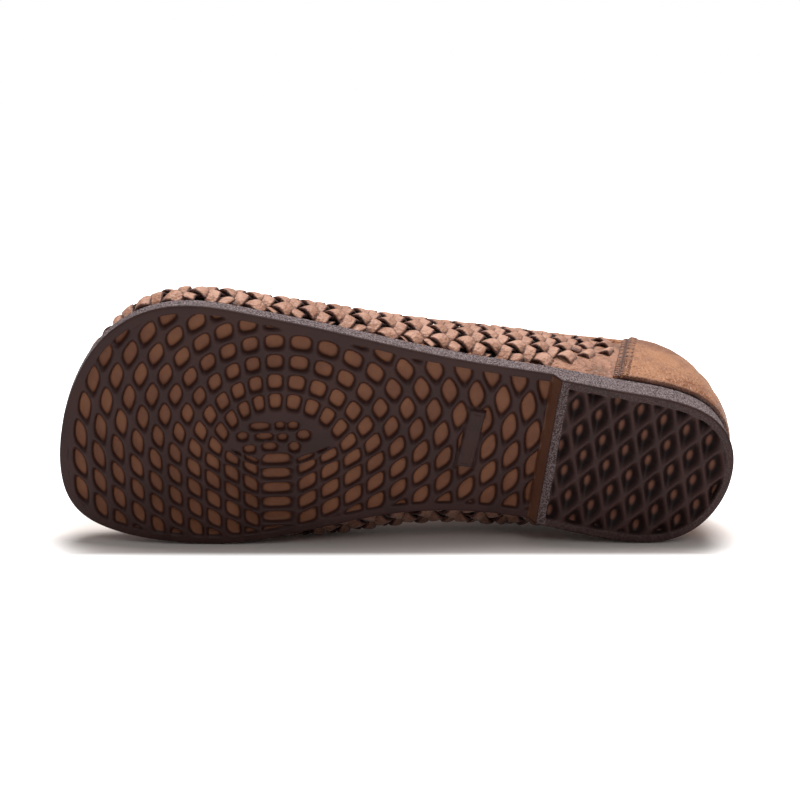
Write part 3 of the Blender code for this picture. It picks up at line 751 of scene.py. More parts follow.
BREAST_STRIP = 0.2       # flat strip between the breast and the first wells


def rounded_cell(along, across, half_along, half_across, power):
    """0 in a cell's middle and 1 on its rounded rim: a superellipse of the two shares."""
    return (np.abs(along / half_along) ** power
            + np.abs(across / half_across) ** power) ** (1 / power)


def forefoot_cells(x, y):
    """Share of the way from a well's middle to its rim, for the net and the ladder of the core.

    An arch's number is its ellipse's size over the pitch, less ARCH_FIRST. Below the core the
    arches run on as straight legs. A spoke's number counts turn along an arch, or steps down a leg.
    What is left after rounding a number, times its pitch, is the distance from the well's middle.
    """
    along = -((x - CORE[0]) * math.cos(CORE_TURN) + (y - CORE[1]) * math.sin(CORE_TURN))
    across = -(x - CORE[0]) * math.sin(CORE_TURN) + (y - CORE[1]) * math.cos(CORE_TURN)
    pitch = np.where(along >= 0, ARCH_HEELWARD, ARCH_TOEWARD)
    above = across > 0
    size = np.where(above, np.hypot(along / pitch, across / ARCH_ACROSS), np.abs(along) / pitch)
    arch = size - ARCH_FIRST
    quarter = SPOKES_FIRST + SPOKES_MORE * arch
    turn = np.where(above, np.arctan2(np.abs(along) / pitch, across / ARCH_ACROSS), math.pi / 2)
    leg = LEG_PITCH + LEG_MORE * arch
    spoke = quarter * turn * 2 / math.pi + np.where(above, 0.0, -across / leg)
    spoke = spoke * np.where(along >= 0, 1.0, -1.0)
    curved = size * np.hypot(pitch * np.cos(turn), ARCH_ACROSS * np.sin(turn)) * math.pi / 2
    span = leg + (curved / np.maximum(quarter, 1.0) - leg) * soft_step(0.0, LEG_BLEND, across)
    row = np.where(above, np.hypot(pitch * np.sin(turn), ARCH_ACROSS * np.cos(turn)), pitch)
    off_arch = (arch - np.round(arch)) * row
    off_spoke = (spoke - np.round(spoke)) * span
    outer = soft_step(1.2, 3.2, arch)
    rib = RIB + RIB_MORE * outer
    net = rounded_cell(off_arch, off_spoke, (row - rib) / 2, np.maximum(span - rib, 0.8) / 2,
                       WELL_POWER - WELL_SOFTER * outer)
    bar = across / BAR_PITCH - 0.5
    ladder = rounded_cell((bar - np.round(bar)) * BAR_PITCH, along, (BAR_PITCH - RIB) / 2,
                          BAR_HALF, WELL_POWER)
    small = np.min([rounded_cell(-along - toeward, across - up, half_long + 0.3, half_wide + 0.3,
                                 CORE_POWER)
                    for toeward, up, half_long, half_wide in CORE_CELLS], axis=0)
    cleared = above & (np.round(arch) < 1) & (turn < CORE_CLEAR)
    in_core = (size < CORE_SIZE) & (across < BAR_PITCH)
    return np.where(in_core, ladder, np.where(cleared, small, net))


def heel_cells(x, y, power):
    """The same share for the heel's pits, from the two step counts of their slanted lattice."""
    steps = np.linalg.inv(np.stack([PIT_STEP_A, PIT_STEP_B], axis=1))
    offset = np.stack([x - PIT[0], y - PIT[1]])
    counts = np.tensordot(steps, offset, 1)
    off = counts - np.round(counts)
    area = abs(np.linalg.det(np.stack([PIT_STEP_A, PIT_STEP_B])))
    half_a = 0.5 - PIT_RIB / 2 * np.linalg.norm(PIT_STEP_B) / area
    half_b = 0.5 - PIT_RIB / 2 * np.linalg.norm(PIT_STEP_A) / area
    return rounded_cell(off[0], off[1], half_a, half_b, power)


def edge_distance(points):
    """Distance of plan points to the sole's edge, measured to a close row of points on it."""
    loop = sole_edge(np.linspace(0, 2 * math.pi, 900, endpoint=False))
    parts = [np.sqrt(((part[:, None] - loop[None]) ** 2).sum(axis=-1).min(axis=1))
             for part in np.array_split(points, 60)]
    return np.concatenate(parts)


def tread_relief(points):
    """Depth of the tread (mm) at plan points, and how far each is in a well, a pit and the rim.

    A well's slope is a soft step of its cell's share. A pit has two: a steep wall and a point.
    """
    x, y = points[:, 0], points[:, 1]
    inside = soft_step(RIM - 0.25, RIM + 0.35, edge_distance(points))
    share = forefoot_cells(x, y)
    turned = points - PLATE
    long = -turned[:, 0] * math.sin(PLATE_TURN) + turned[:, 1] * math.cos(PLATE_TURN)
    wide = turned[:, 0] * math.cos(PLATE_TURN) + turned[:, 1] * math.sin(PLATE_TURN)
    off_plate = np.maximum(np.abs(wide) - PLATE_HALF[0], np.abs(long) - PLATE_HALF[1])
    start = BREAST + BREAST_SLOPE + BREAST_STRIP
    field = inside * soft_step(start - 0.3, start + 0.3, x)
    moat = soft_step(0.0, 0.4, off_plate) * soft_step(*MOAT, off_plate)
    well = field * soft_step(0.0, 0.5, off_plate) * np.maximum(soft_step(*WELL_SLOPE, share),
                                                               0.5 * moat)
    heel_front = BREAST - BREAST_SLOPE - RIM
    heel_field = inside * soft_step(heel_front + 0.3, heel_front - 0.3, x)
    pit = heel_field * (0.6 * soft_step(1.2, 0.45, heel_cells(x, y, 4.0))
                        + 0.4 * soft_step(0.85, 0.0, heel_cells(x, y, 2.0)))
    frame_line = np.exp(-((off_plate + 0.9) / 0.35) ** 2)
    raised = soft_step(0.3, -0.3, off_plate) * (PLATE_RISE - PLATE_LINE * frame_line)
    depth = WELL_DEPTH * well + PIT_DEPTH * pit - raised
    return depth, well, pit, 1 - inside


print("depth of the tread in the middle of the core and in a pit, mm:",
      tread_relief(np.stack([CORE, PIT]))[0].round(2))

# %% [markdown]
# ## The outsole
# The real sole is one rubber moulding, heel and all. A grid of chords from edge to edge, each
# point sunk by the tread's depth, makes its lower face. Rings round the edge then carry it up the
# side wall to the top, where the grid's chords close it. One closed grid needs no joins between
# rim, wells and wall, which is why nothing is cut out or added afterwards.

# %% Outsole
SOLE_ACROSS = 176        # quads across the tread
TREAD_ROUND = 0.8        # radius of the tread's edge
STATION_STEP = 0.56      # most room between two chords
ROUND_ARCS = (30, 60, 90)          # degrees round that radius
WALL_RINGS = (
    # share of the wall's height, inset of the ring
    (0.06, 0), (0.3, 0), (0.6, 0), (0.9, 0), (0.97, 0.1), (1.0, 0.4), (1.0, 1.2),
)
# The side mark gives pebbled grain, and a pale painted sheen in the colour.
HEEL_GRAIN_AND_SHEEN, RIM_GRAIN_AND_SHEEN = 0.4, 0.12    # side mark of the heel's front rim and of the rest of its rim
BREAST_AMBER = 0.78      # well mark of the heel's front face


def graded_stations():
    """Stations along the sole, closer at its ends and at the heel's breast."""
    fine = np.linspace(0, SOLE_LENGTH, 6001)
    ends = np.exp(-fine / 2.5) + np.exp(-(SOLE_LENGTH - fine) / 2.5)
    near = 1.0 + 2.5 * ends + 1.2 * np.exp(-((fine - BREAST) / 2.2) ** 2)
    count = np.concatenate([[0.0], np.cumsum((near[1:] + near[:-1]) / 2 * np.diff(fine))])
    wanted = np.linspace(0, count[-1], int(count[-1] / STATION_STEP) + 1)
    return np.interp(wanted, count, fine)


def make_outsole():
    """Closed sole: chords across for the tread and the top face, rings round for the side wall."""
    turn = np.arccos(np.clip(1 - 2 * graded_stations() / SOLE_LENGTH, -1, 1))
    lateral = sole_edge(turn, TREAD_ROUND)
    medial = sole_edge(2 * math.pi - turn, TREAD_ROUND)
    medial[[0, -1]] = lateral[[0, -1]]
    across = np.linspace(0, 1, SOLE_ACROSS + 1)[None, :, None]
    plan = (medial[:, None] * (1 - across) + lateral[:, None] * across).reshape(-1, 2)
    x = plan[:, 0]
    depth, well, pit, rim = tread_relief(plan)
    heel_front = BREAST - BREAST_SLOPE
    front_rim = (x < heel_front + 0.3) & (x > heel_front - RIM + 0.2)
    breast = (x > heel_front + 0.3) & (x < BREAST + BREAST_SLOPE + 0.4)
    marks = {"well": [np.maximum(well, np.where(breast, BREAST_AMBER, 0.0))], "pit": [pit],
             "side": [np.where(front_rim, HEEL_GRAIN_AND_SHEEN, RIM_GRAIN_AND_SHEEN * rim * (x < heel_front))]}
    points = [np.column_stack([plan, tread_height(x) + depth])]

    loop = np.concatenate([turn, 2 * math.pi - turn[-2:0:-1]])
    low = tread_height(sole_edge(loop, TREAD_ROUND)[:, 0])
    rings = [(TREAD_ROUND * (1 - math.sin(arc)), low + TREAD_ROUND * (1 - math.cos(arc)),
              0.0 if arc < 1.2 else 0.5) for arc in np.radians(ROUND_ARCS)]
    for share, inset in WALL_RINGS:
        top = sole_top(sole_edge(loop, inset)[:, 0])
        rings.append((inset, low + TREAD_ROUND + (top - low - TREAD_ROUND) * share, 1.0))
    rows, columns, count = len(turn), SOLE_ACROSS + 1, len(loop)
    number = np.arange(rows * columns).reshape(rows, columns)
    quads = [grid_quads(rows, columns)]
    below = np.concatenate([number[:, -1], number[-2:0:-1, 0]])
    for k, (inset, height, side) in enumerate(rings):
        points.append(np.column_stack([sole_edge(loop, inset), height]))
        ring = np.arange(count) + rows * columns + k * count
        quads.append(ring_quads(below, ring))
        below = ring
        for key, value in (("well", 0.0), ("pit", 0.0), ("side", side)):
            marks[key].append(np.full(count, value))
    k = np.arange(rows - 1)
    quads.append(np.stack([below[k], below[k + 1], below[(count - k - 1) % count],
                           below[(count - k) % count]], axis=-1))
    return make_piece("outsole_tread", np.concatenate(points), np.concatenate(quads),
                      {key: np.concatenate(parts) for key, parts in marks.items()})


outsole = make_outsole()
outsole.data.materials.append(TREAD_RUBBER)
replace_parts(outsole, "outsole")

# %% [markdown]
# ## The weave's pattern sheet
# The upper is woven flat from strips at 45 degrees and then lasted. Strips could be drawn straight
# on the last, but its angles and climbs crowd together at the toe and would squeeze them. So the
# pattern is drawn flat here too: the arches are unrolled to both sides of the spine, each as long
# as its real arc, which gives a chart of the whole upper. Any place on the chart is then looked up
# on the lasted surface, with its normal, so a strip that is straight on it wraps the foot.

# %% Chart
CHART_STEP = 1.5
CHART_U = np.arange(-84.0, 312.0, CHART_STEP)
CHART_V = np.arange(-117.0, 117.0, CHART_STEP)
TOE_SHARE = 0.78         # the arches at toe and heel are laid out a little short, to fan less
TURNS = 720              # arches round the shoe
ANGLES = np.linspace(0, 2 * math.pi, TURNS + 1)
CLIMBS = np.concatenate([np.linspace(1, 0, 61), -np.linspace(0, 1, 17)[1:]])
OVER_SPINE = 2           # rows carried on past the spine
PAST_SOLE = 8            # and past the sole
OFF_CHART = -9.0         # distance that stands for "no leather here" or "no collar on this arch"
SAMPLES = (4 * TURNS, 332)         # laid-out places that the search for a chart place starts from
SEARCH_STEPS = 10


def carried_on(table):
    """Table of arch rows, carried on in a straight line past both of its ends."""
    over = np.arange(OVER_SPINE, 0.0, -1.0)[None, :, None]
    past = np.arange(1.0, PAST_SOLE + 1)[None, :, None]
    first = table[:, :1] - (table[:, 1:2] - table[:, :1]) * over
    last = table[:, -1:] + (table[:, -1:] - table[:, -2:-1]) * past
    return np.concatenate([first, table, last], axis=1)


def lay_out():
    """Chart place, lasted point and arc length of every arch point; arcs to sole and collar.

    Along the sides a point keeps its true x and is as far from the spine as its arc is long. Arches
    that run towards the toe or the heel are laid along their own ray, a little short.
    """
    arches = last_point(ANGLES[:, None], CLIMBS[None, :])
    steps = np.linalg.norm(np.diff(arches, axis=1), axis=-1)
    length = np.pad(np.cumsum(steps, axis=1), ((0, 0), (1, 0)))
    spine = spine_point(ANGLES)
    ray = body_edge(ANGLES) - spine
    ray /= np.linalg.norm(ray, axis=-1, keepdims=True)
    plan = ((arches[..., :2] - spine[:, None]) * ray[:, None]).sum(axis=-1)
    endwise = ray[:, :1] ** 2
    along = ray[:, :1] * (plan * (1 - endwise) + TOE_SHARE * length * endwise)
    across = ray[:, 1:] * (length * (1 - endwise) + TOE_SHARE * length * endwise)
    place = spine[:, None] + np.stack([along, across], axis=-1)
    table = carried_on(np.concatenate([place, arches, length[..., None]], axis=-1))
    collar_length = np.array([np.interp(-climb, -CLIMBS, arch)
                              for climb, arch in zip(collar_climb(ANGLES), length)])
    collar_length = np.where(opening(ANGLES) > 1e-6, collar_length, OFF_CHART)
    return table, length[:, -1], collar_length


def between(table, i, j):
    """Value of a table at fractional rows, and its slopes along both."""
    a, b = i.astype(int), j.astype(int)
    fa, fb = (i - a)[:, None], (j - b)[:, None]
    low, high = table[a, b], table[a + 1, b]
    low_next, high_next = table[a, b + 1], table[a + 1, b + 1]
    value = (low * (1 - fa) + high * fa) * (1 - fb) + (low_next * (1 - fa) + high_next * fa) * fb
    slope_a = (high - low) * (1 - fb) + (high_next - low_next) * fb
    slope_b = (low_next - low) * (1 - fa) + (high_next - high) * fa
    return value, slope_a, slope_b


def unroll():
    """The layout turned round: lasted point and distances to sole and collar on a chart grid.

    Each grid place starts from the nearest laid-out sample, and Newton steps close the rest. A
    place with no sample takes the middle of its two neighbours.
    """
    table, full_length, collar_length = lay_out()
    last_row = table.shape[1] - 1.001
    i, j = np.meshgrid(np.linspace(0, TURNS - 0.001, SAMPLES[0]),
                       np.linspace(0, last_row, SAMPLES[1]), indexing="ij")
    i, j = i.ravel(), j.ravel()
    place = between(table[..., :2], i, j)[0]
    a = np.round((place[:, 0] - CHART_U[0]) / CHART_STEP).astype(int)
    b = np.round((place[:, 1] - CHART_V[0]) / CHART_STEP).astype(int)
    inside = (a >= 0) & (a < len(CHART_U)) & (b >= 0) & (b < len(CHART_V))
    start = np.full((len(CHART_U), len(CHART_V), 2), -1.0)
    start[a[inside], b[inside]] = np.stack([i, j], axis=-1)[inside]
    found = start[..., 0] >= 0
    i, j = start[found].T
    u, v = np.meshgrid(CHART_U, CHART_V, indexing="ij")
    wanted = np.stack([u[found], v[found]], axis=-1)
    for _ in range(SEARCH_STEPS):
        value, slope_a, slope_b = between(table[..., :2], i, j)
        miss = wanted - value
        area = slope_a[:, 0] * slope_b[:, 1] - slope_a[:, 1] * slope_b[:, 0]
        area = np.where(np.abs(area) < 1e-3, 1e-3, area)
        step_i = (miss[:, 0] * slope_b[:, 1] - miss[:, 1] * slope_b[:, 0]) / area
        step_j = (slope_a[:, 0] * miss[:, 1] - slope_a[:, 1] * miss[:, 0]) / area
        i = np.mod(i + np.clip(step_i, -2, 2), TURNS) * 0.9999999
        j = np.clip(j + np.clip(step_j, -2, 2), 0, last_row)
    value = between(table, i, j)[0]
    left = np.linalg.norm(wanted - value[:, :2], axis=-1)
    sheet = np.zeros((len(CHART_U), len(CHART_V), 5))
    sheet[..., 3] = OFF_CHART
    sheet[found, :3] = value[:, 2:5]
    sheet[found, 3] = np.interp(i, np.arange(TURNS + 1), full_length) - value[:, 5]
    sheet[found, 4] = value[:, 5] - np.interp(i, np.arange(TURNS + 1), collar_length)
    print("chart of", int(found.sum()), "places, worst miss on the leather, mm:",
          round(float(left[sheet[found, 3] > 0].max()), 3))
    for axis in (0, 1, 0, 1):
        ahead, behind = np.roll(sheet, -1, axis), np.roll(sheet, 1, axis)
        gap = np.roll(found, -1, axis) & np.roll(found, 1, axis) & ~found
        sheet[gap] = (ahead[gap] + behind[gap]) / 2
        found = found | gap
    return sheet


CHART = unroll()
CHART_POINT, TO_SOLE, TO_COLLAR = CHART[..., :3], CHART[..., 3], CHART[..., 4]
CHART_FOUND = (TO_SOLE > OFF_CHART + 0.1).astype(float)
CHART_NORMAL = np.cross(np.gradient(CHART_POINT, axis=0), np.gradient(CHART_POINT, axis=1))
CHART_NORMAL /= np.linalg.norm(CHART_NORMAL, axis=-1, keepdims=True) + 1e-12


def look_up(table, u, v):
    """Value of a chart table at chart places, straight between its grid points."""
    a = np.clip((u - CHART_U[0]) / CHART_STEP, 0, len(CHART_U) - 1.001)
    b = np.clip((v - CHART_V[0]) / CHART_STEP, 0, len(CHART_V) - 1.001)
    i, j = a.astype(int), b.astype(int)
    fa, fb = (a - i), (b - j)
    if table.ndim == 3:
        fa, fb = fa[..., None], fb[..., None]
    return ((table[i, j] * (1 - fa) + table[i + 1, j] * fa) * (1 - fb)
            + (table[i, j + 1] * (1 - fa) + table[i + 1, j + 1] * fa) * fb)


# %% [markdown]
# ## Strips
# In a plain weave each strip goes over one and under the next. A printed pattern or a bump would
# give the look from afar, but not the stepped outline, the dark slits, or strips that cast shadows
# on each other, so each strip is its own closed shape. Its height follows a cosine along its
# length, and the crossing family takes the opposite one, so the two never meet. A strip's section
# is a flat lens with thick cut edges, which puffs up a little where it lies on top. Small seeded
# shifts keep the rows from looking ruled.

# %% Sizes of the weave
PITCH = 7.07             # from strip to strip
ROWS = range(-34, 50)    # strips of a family, counted across the chart
ROW_JITTER = 0.12        # spread of the rows' seeded shifts
WANDER = (
    # size, turns per pitch and step per row of the waves that a strip wanders sideways by
    (0.16, 1.7, 1.0), (0.12, 0.63, 2.1),
)
WIDER_ON_TOP = 0.05      # shares of a strip's width
NARROWER_BESIDE = 0.13
WIDTH_WAVE = 0.02
LINE_REACH = 260.0       # half the length of a strip's line on the chart
STRIP_THICK = 1.15
SWING = 1.3              # how far a strip rises and falls
PUFF = 0.20              # how far the middle of a strip bulges where it lies on top
TILT = 0.10              # how far its edges rock
WEAVE_SEAT = -1.3        # middle of the weave, under the last's surface
WEAVE_SHIFT = np.array([0.5, -1.5])          # place on the chart of one crossing
BEND_FROM = 105.0        # heelward of this the rows bend down the sides
BEND = 0.0078            # bend per square mm heelward
STATION = 0.80           # spacing of the sections along a strip
SIDE_REACH = 3.6         # the chart must hold the leather this far to both sides of a strip
TOE_SINK = 1.9           # how far the weave is drawn in at the toe
STAND_MOST = 1.5         # the strips never stand higher than this over the last
COLLAR_LOW = 1.5         # how much lower the strips stay beside the collar
PANEL_LIFT = 0.4         # how much higher they lie on the panel
DIVE = 1.3               # how deep a strip's end dives into its slit
DIVING = (84.0, 92.0)    # ends heelward of this dive; the others run under the sole or the collar
PANEL_FOOT = 80.0        # front edge of the plain quarter panel at the sole, from the heel's back
PANEL_HEAD = 54.0        # and high up
PANEL_LEAN = 0.9         # how fast it runs back with the distance from the sole
FLOOR_SHADE = (0.020, 0.007)       # heights over the floor, m, between which the strips darken
SECTION = np.array((
    # across, height: the crowned top from edge to edge, then the flat underside
    (-1.0, 0.0), (-0.94, 0.41), (-0.70, 0.49), (0.0, 0.52), (0.70, 0.49), (0.94, 0.41), (1.0, 0.0),
    (0.9, -0.42), (0.0, -0.5), (-0.9, -0.42),
))
# Edge mark of the section: its cut edges go dark, and so, as painted shade of the gaps between
# strips, do the outer part of its top face and its whole underside.
SECTION_EDGE_AND_SHADE = np.where(SECTION[:, 1] < 0, 1.0, np.clip((np.abs(SECTION[:, 0]) - 0.70) / 0.2, 0, 1))
DOWNWARD_STRIP = np.array([-1.0, 1.0]) / math.sqrt(2)     # heelward and down, lateral side
UPWARD_STRIP = np.array([-1.0, -1.0]) / math.sqrt(2)      # heelward and up
rng = np.random.default_rng(11)
print("a strip is", STRIP_THICK, "mm thick, and crosses another every", PITCH, "mm")


# %% Lines of the weave
def toe_sink(x):
    """How far the weave is drawn in round the toe, so that it hides behind the sole's rim."""
    return TOE_SINK * soft_step(218.0, 244.0, x)


def panel_edge(to_sole):
    """Front edge of the quarter panel: it runs heelward as it climbs from the sole."""
    return np.maximum(PANEL_FOOT - PANEL_LEAN * to_sole, PANEL_HEAD)


def bend(place):
    """Chart places with their rows bent down the sides behind BEND_FROM, by a square law."""
    down = BEND * np.maximum(BEND_FROM - place[..., 0], 0.0) ** 2 * np.tanh(place[..., 1] / 12.0)
    return np.stack([place[..., 0], place[..., 1] - down], axis=-1)


def strip_runs(origin, direction, other, past):
    """Stretches of a chart line on the woven part and up to past mm behind the panel's edge.

    Each is over the sole, off the collar, and inside the chart with SIDE_REACH to spare.
    """
    along = np.arange(-LINE_REACH, LINE_REACH, STATION)
    place = bend(origin + along[:, None] * direction)
    u, v = place.T
    to_sole = look_up(TO_SOLE, u, v)
    spot = look_up(CHART_POINT, u, v)
    on = (to_sole > 0.4) & (look_up(TO_COLLAR, u, v) > 1.0)
    on &= spot[:, 0] > panel_edge(to_sole) - past
    on &= spot[:, 2] > sole_top(spot[:, 0]) + 0.3
    for offset in (-SIDE_REACH, 0.0, SIDE_REACH):
        beside = bend(origin + along[:, None] * direction + offset * other)
        on &= look_up(CHART_FOUND, beside[:, 0], beside[:, 1]) > 0.999
    on &= (u > CHART_U[1]) & (u < CHART_U[-2]) & (v > CHART_V[1]) & (v < CHART_V[-2])
    ends = np.flatnonzero(np.diff(np.concatenate([[0], on.astype(int), [0]])))
    return [along[a:b] for a, b in zip(ends[::2], ends[1::2]) if b - a > 5]



print("the weave ends", float(panel_edge(0.0)), "mm in front of the back of the heel")


# %% Strips
def strip_height(over, phase, k):
    """Height of a strip's points over the last.

    It is the seat of the weave, plus SWING times over (1 on top of a crossing, -1 under it), the
    lens of the section, the puff of the parts on top, and a slow tilt from side to side.
    """
    across, lens = SECTION[None, :, 0], SECTION[None, :, 1]
    puff = PUFF * np.clip(over, 0, 1)[:, None] * (1 - across ** 2)
    tilt = TILT * np.sin(phase * 0.9 + 1.9 * k)[:, None] * across
    return (WEAVE_SEAT + SWING * over[:, None] + lens * STRIP_THICK
            + np.where(lens > 0, puff, 0.3 * puff) + tilt)


def lay_strip(place, height, along):
    """Points of a strip on the last, and the distance of each from an end that dives."""
    u, v = place[..., 0], place[..., 1]
    surface = look_up(CHART_POINT, u, v)
    normal = look_up(CHART_NORMAL, u, v)
    normal /= np.linalg.norm(normal, axis=-1, keepdims=True)
    x = surface[..., 0]
    tip = np.minimum(along - along[0], along[-1] - along)[:, None] + 9.0 * soft_step(*DIVING, x)
    stand = height + PANEL_LIFT * soft_step(4.0, -2.0, x - panel_edge(look_up(TO_SOLE, u, v)))
    stand = stand - toe_sink(x) - DIVE * soft_step(2.4, 0.0, tip)
    most = STAND_MOST - COLLAR_LOW * soft_step(5.0, 2.0, look_up(TO_COLLAR, u, v))
    body = surface + normal * np.minimum(stand, most)[..., None]
    body[..., 2] = np.maximum(body[..., 2], sole_top(body[..., 0]) + 0.1)
    return body, tip


def strip_shade(over, tip, body):
    """Darkness of a strip's points: under a crossing, at a diving end and close to the floor."""
    low = np.maximum(soft_step(0.12, -0.36, over)[:, None], soft_step(2.0, 0.5, tip))
    ground = to_row(body.reshape(-1, 3))[:, 2].reshape(body.shape[:2])
    return 0.95 * np.maximum(low, 0.6 * soft_step(*FLOOR_SHADE, ground))


def weave(direction, other, lift, half_width, turned, past):
    """Points, quads, end fans and marks of all strips of one family.

    lift is +1 or -1, which crossing goes on top. turned is the sideways swing that stands the
    strips up where they lie on top. past is how far they run on behind the panel's edge.
    """
    points, quads, fans, edge, shade = [], [], [], [], []
    total, ring = 0, len(SECTION)
    for k in ROWS:
        middle = k * PITCH + (rng.normal(0, ROW_JITTER) + WEAVE_SHIFT @ other)
        sign = lift * (1 if k % 2 == 0 else -1)
        for along in strip_runs(other * middle, direction, other, past):
            phase = (along - WEAVE_SHIFT @ direction) / PITCH
            over = sign * np.cos(math.pi * phase)
            wander = sum(size * np.sin(phase * turns + step * k) for size, turns, step in WANDER)
            wander -= turned * sign * np.sin(math.pi * phase)
            beside = NARROWER_BESIDE * (1 - over ** 2) * (turned > 0)
            half = half_width * (1 + WIDER_ON_TOP * over - beside
                                 + WIDTH_WAVE * np.sin(phase * 2.3 + 1.3 * k))
            centre = (middle + wander)[:, None] * other + along[:, None] * direction
            across = SECTION[None, :, 0] * half[:, None]
            place = bend(centre[:, None] + across[..., None] * other)
            body, tip = lay_strip(place, strip_height(over, phase, k), along)
            count = len(along) * ring
            points += [body.reshape(-1, 3), body[[0, -1]].mean(axis=1)]
            edge += [np.tile(SECTION_EDGE_AND_SHADE, len(along)), np.ones(2)]
            shade += [strip_shade(over, tip, body).ravel(), np.ones(2)]
            quads.append(grid_quads(len(along), ring, total, wrap=True))
            for start, cap in ((total, total + count), (total + count - ring, total + count + 1)):
                loop = np.arange(ring) + start
                fans.append(np.stack([loop, np.roll(loop, -1), np.full(ring, cap)], axis=-1))
            total += count + 2
    return (np.concatenate(points), np.concatenate(quads), np.concatenate(fans),
            {"edge": np.concatenate(edge), "shade": np.concatenate(shade)})


def make_family(name, *ways, **sizes):
    """One family of strips as a piece, its ends capped by fans; nothing goes under the floor."""
    points, quads, fans, marks = weave(*ways, **sizes)
    laid = to_row(points)
    laid[:, 2] = np.maximum(laid[:, 2], 0.0)
    mesh = bpy.data.meshes.new(name)
    mesh.from_pydata(laid, [], quads.tolist() + fans.tolist())
    add_marks(mesh, marks)
    piece = finish_piece(name, mesh)
    piece.data.materials.append(STRIP_LEATHER)
    return piece


upward = make_family("upward_strips", UPWARD_STRIP, DOWNWARD_STRIP,
                     lift=1, half_width=2.75, turned=1.2, past=3.0)
make_family("downward_strips", DOWNWARD_STRIP, UPWARD_STRIP,
            lift=-1, half_width=2.55, turned=0.0, past=13.0)
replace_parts(upward, "upper")

# %% [markdown]
# ## Lining and quarter panel
# Behind the weave lies a thin leather lining, near black as painted shade, so the weave's holes
# read dark. The quarter in front of the heel is a plain panel: the last strips dive into slits in
# its front edge.
# Both could be cloth draped on the last, but lasted leather is stretched tight, so each is simply
# a thin closed shell between two copies of the last's surface.

# %% Lining
LINING_OUT = -3.7
LINING_IN = -4.0
LINING_GRID = (320, 56)  # arches round the shoe, and points up each


def make_lining():
    """Wrap of all angles from the sole to the collar, or to the spine in front of the throat.

    Its way out is square to the surface: the cross product of its steps along both ways.
    """
    rows, columns = LINING_GRID
    angles = np.linspace(0, 2 * math.pi, rows, endpoint=False)
    low = -0.98
    climbs = low + (collar_climb(angles)[:, None] - low) * np.linspace(0, 1, columns)[None, :]
    base, outward = skin(angles[:, None], climbs)
    onward = np.roll(base, -1, axis=0) - np.roll(base, 1, axis=0)
    normal = np.cross(onward, np.gradient(base, axis=1))
    normal *= np.sign((normal * outward).sum(-1))[..., None]
    normal /= np.linalg.norm(normal, axis=-1, keepdims=True) + 1e-9
    drawn_in = toe_sink(base[..., 0])
    outer, inner = (base + normal * (stand - drawn_in)[..., None]
                    for stand in (LINING_OUT, LINING_IN))
    half = rows * columns
    number = np.arange(half).reshape(rows, columns)
    ahead = np.roll(number, -1, axis=0)
    sheet = np.stack([number[:, :-1], ahead[:, :-1], ahead[:, 1:], number[:, 1:]], axis=-1)
    sheet = sheet.reshape(-1, 4)
    open_line = opening(angles) > 1e-6
    quads = [sheet, sheet[:, ::-1] + half]
    for k, keep in ((0, np.ones(rows, bool)), (columns - 1, open_line | np.roll(open_line, -1))):
        a, b = number[keep, k], ahead[keep, k]
        quads.append(np.stack([a, b, b + half, a + half], axis=-1))
    return make_piece("lining", np.concatenate([outer.reshape(-1, 3), inner.reshape(-1, 3)]),
                      np.concatenate(quads), merge=0.01)


lining = make_lining()
lining.data.materials.append(LINING_SHADE_LEATHER)


# %% Quarter panel
COUNTER_FOOT = 46.3      # front edge of the counter at the sole's top
COUNTER_LEAN = 0.25      # how far it runs heelward for each mm up
HEEL_TOP = 13.5          # height of the sole's top at the heel
PANEL_OUT = -0.95
PANEL_IN = -1.9
PANEL_UNDER = 4.0        # how far the panel runs on under the counter
PANEL_SWELL = 0.45       # how far it rises towards the counter
PANEL_GROOVE = 0.25      # depth of the groove along the sole
PANEL_LIP = 0.35         # how far its front edge comes down
PANEL_MIDDLE = 66.0      # arch that the distance from the sole is measured along
PANEL_GRID = (70, 90)    # points from the counter forward, and up from the sole


def climb_of(rise, angle):
    """Climb of a rise that runs from -1 at the sole through 0 to 1 at the collar."""
    return np.where(rise < 0, rise, rise * collar_climb(angle))


def angle_of(x, rise, side, lean=0.0):
    """Signed angle at which the line of this rise meets a line drawn from x at the sole's top.

    side is 1 for lateral and -1 for medial; lean is how far that line runs heelward per mm up. Each
    step of the search moves the angle by the miss over the speed of x with the angle.
    """
    x, rise = np.broadcast_arrays(np.asarray(x, float), rise)
    angle = np.arccos(1 - 2 * x / SOLE_LENGTH)
    for _ in range(16):
        place = last_point(side * angle, climb_of(rise, side * angle))
        miss = place[..., 0] + lean * (place[..., 2] - HEEL_TOP) - x
        angle = np.clip(angle - 0.8 * miss / (SOLE_LENGTH / 2 * np.sin(angle)), 0.05, 3.0)
    return side * angle


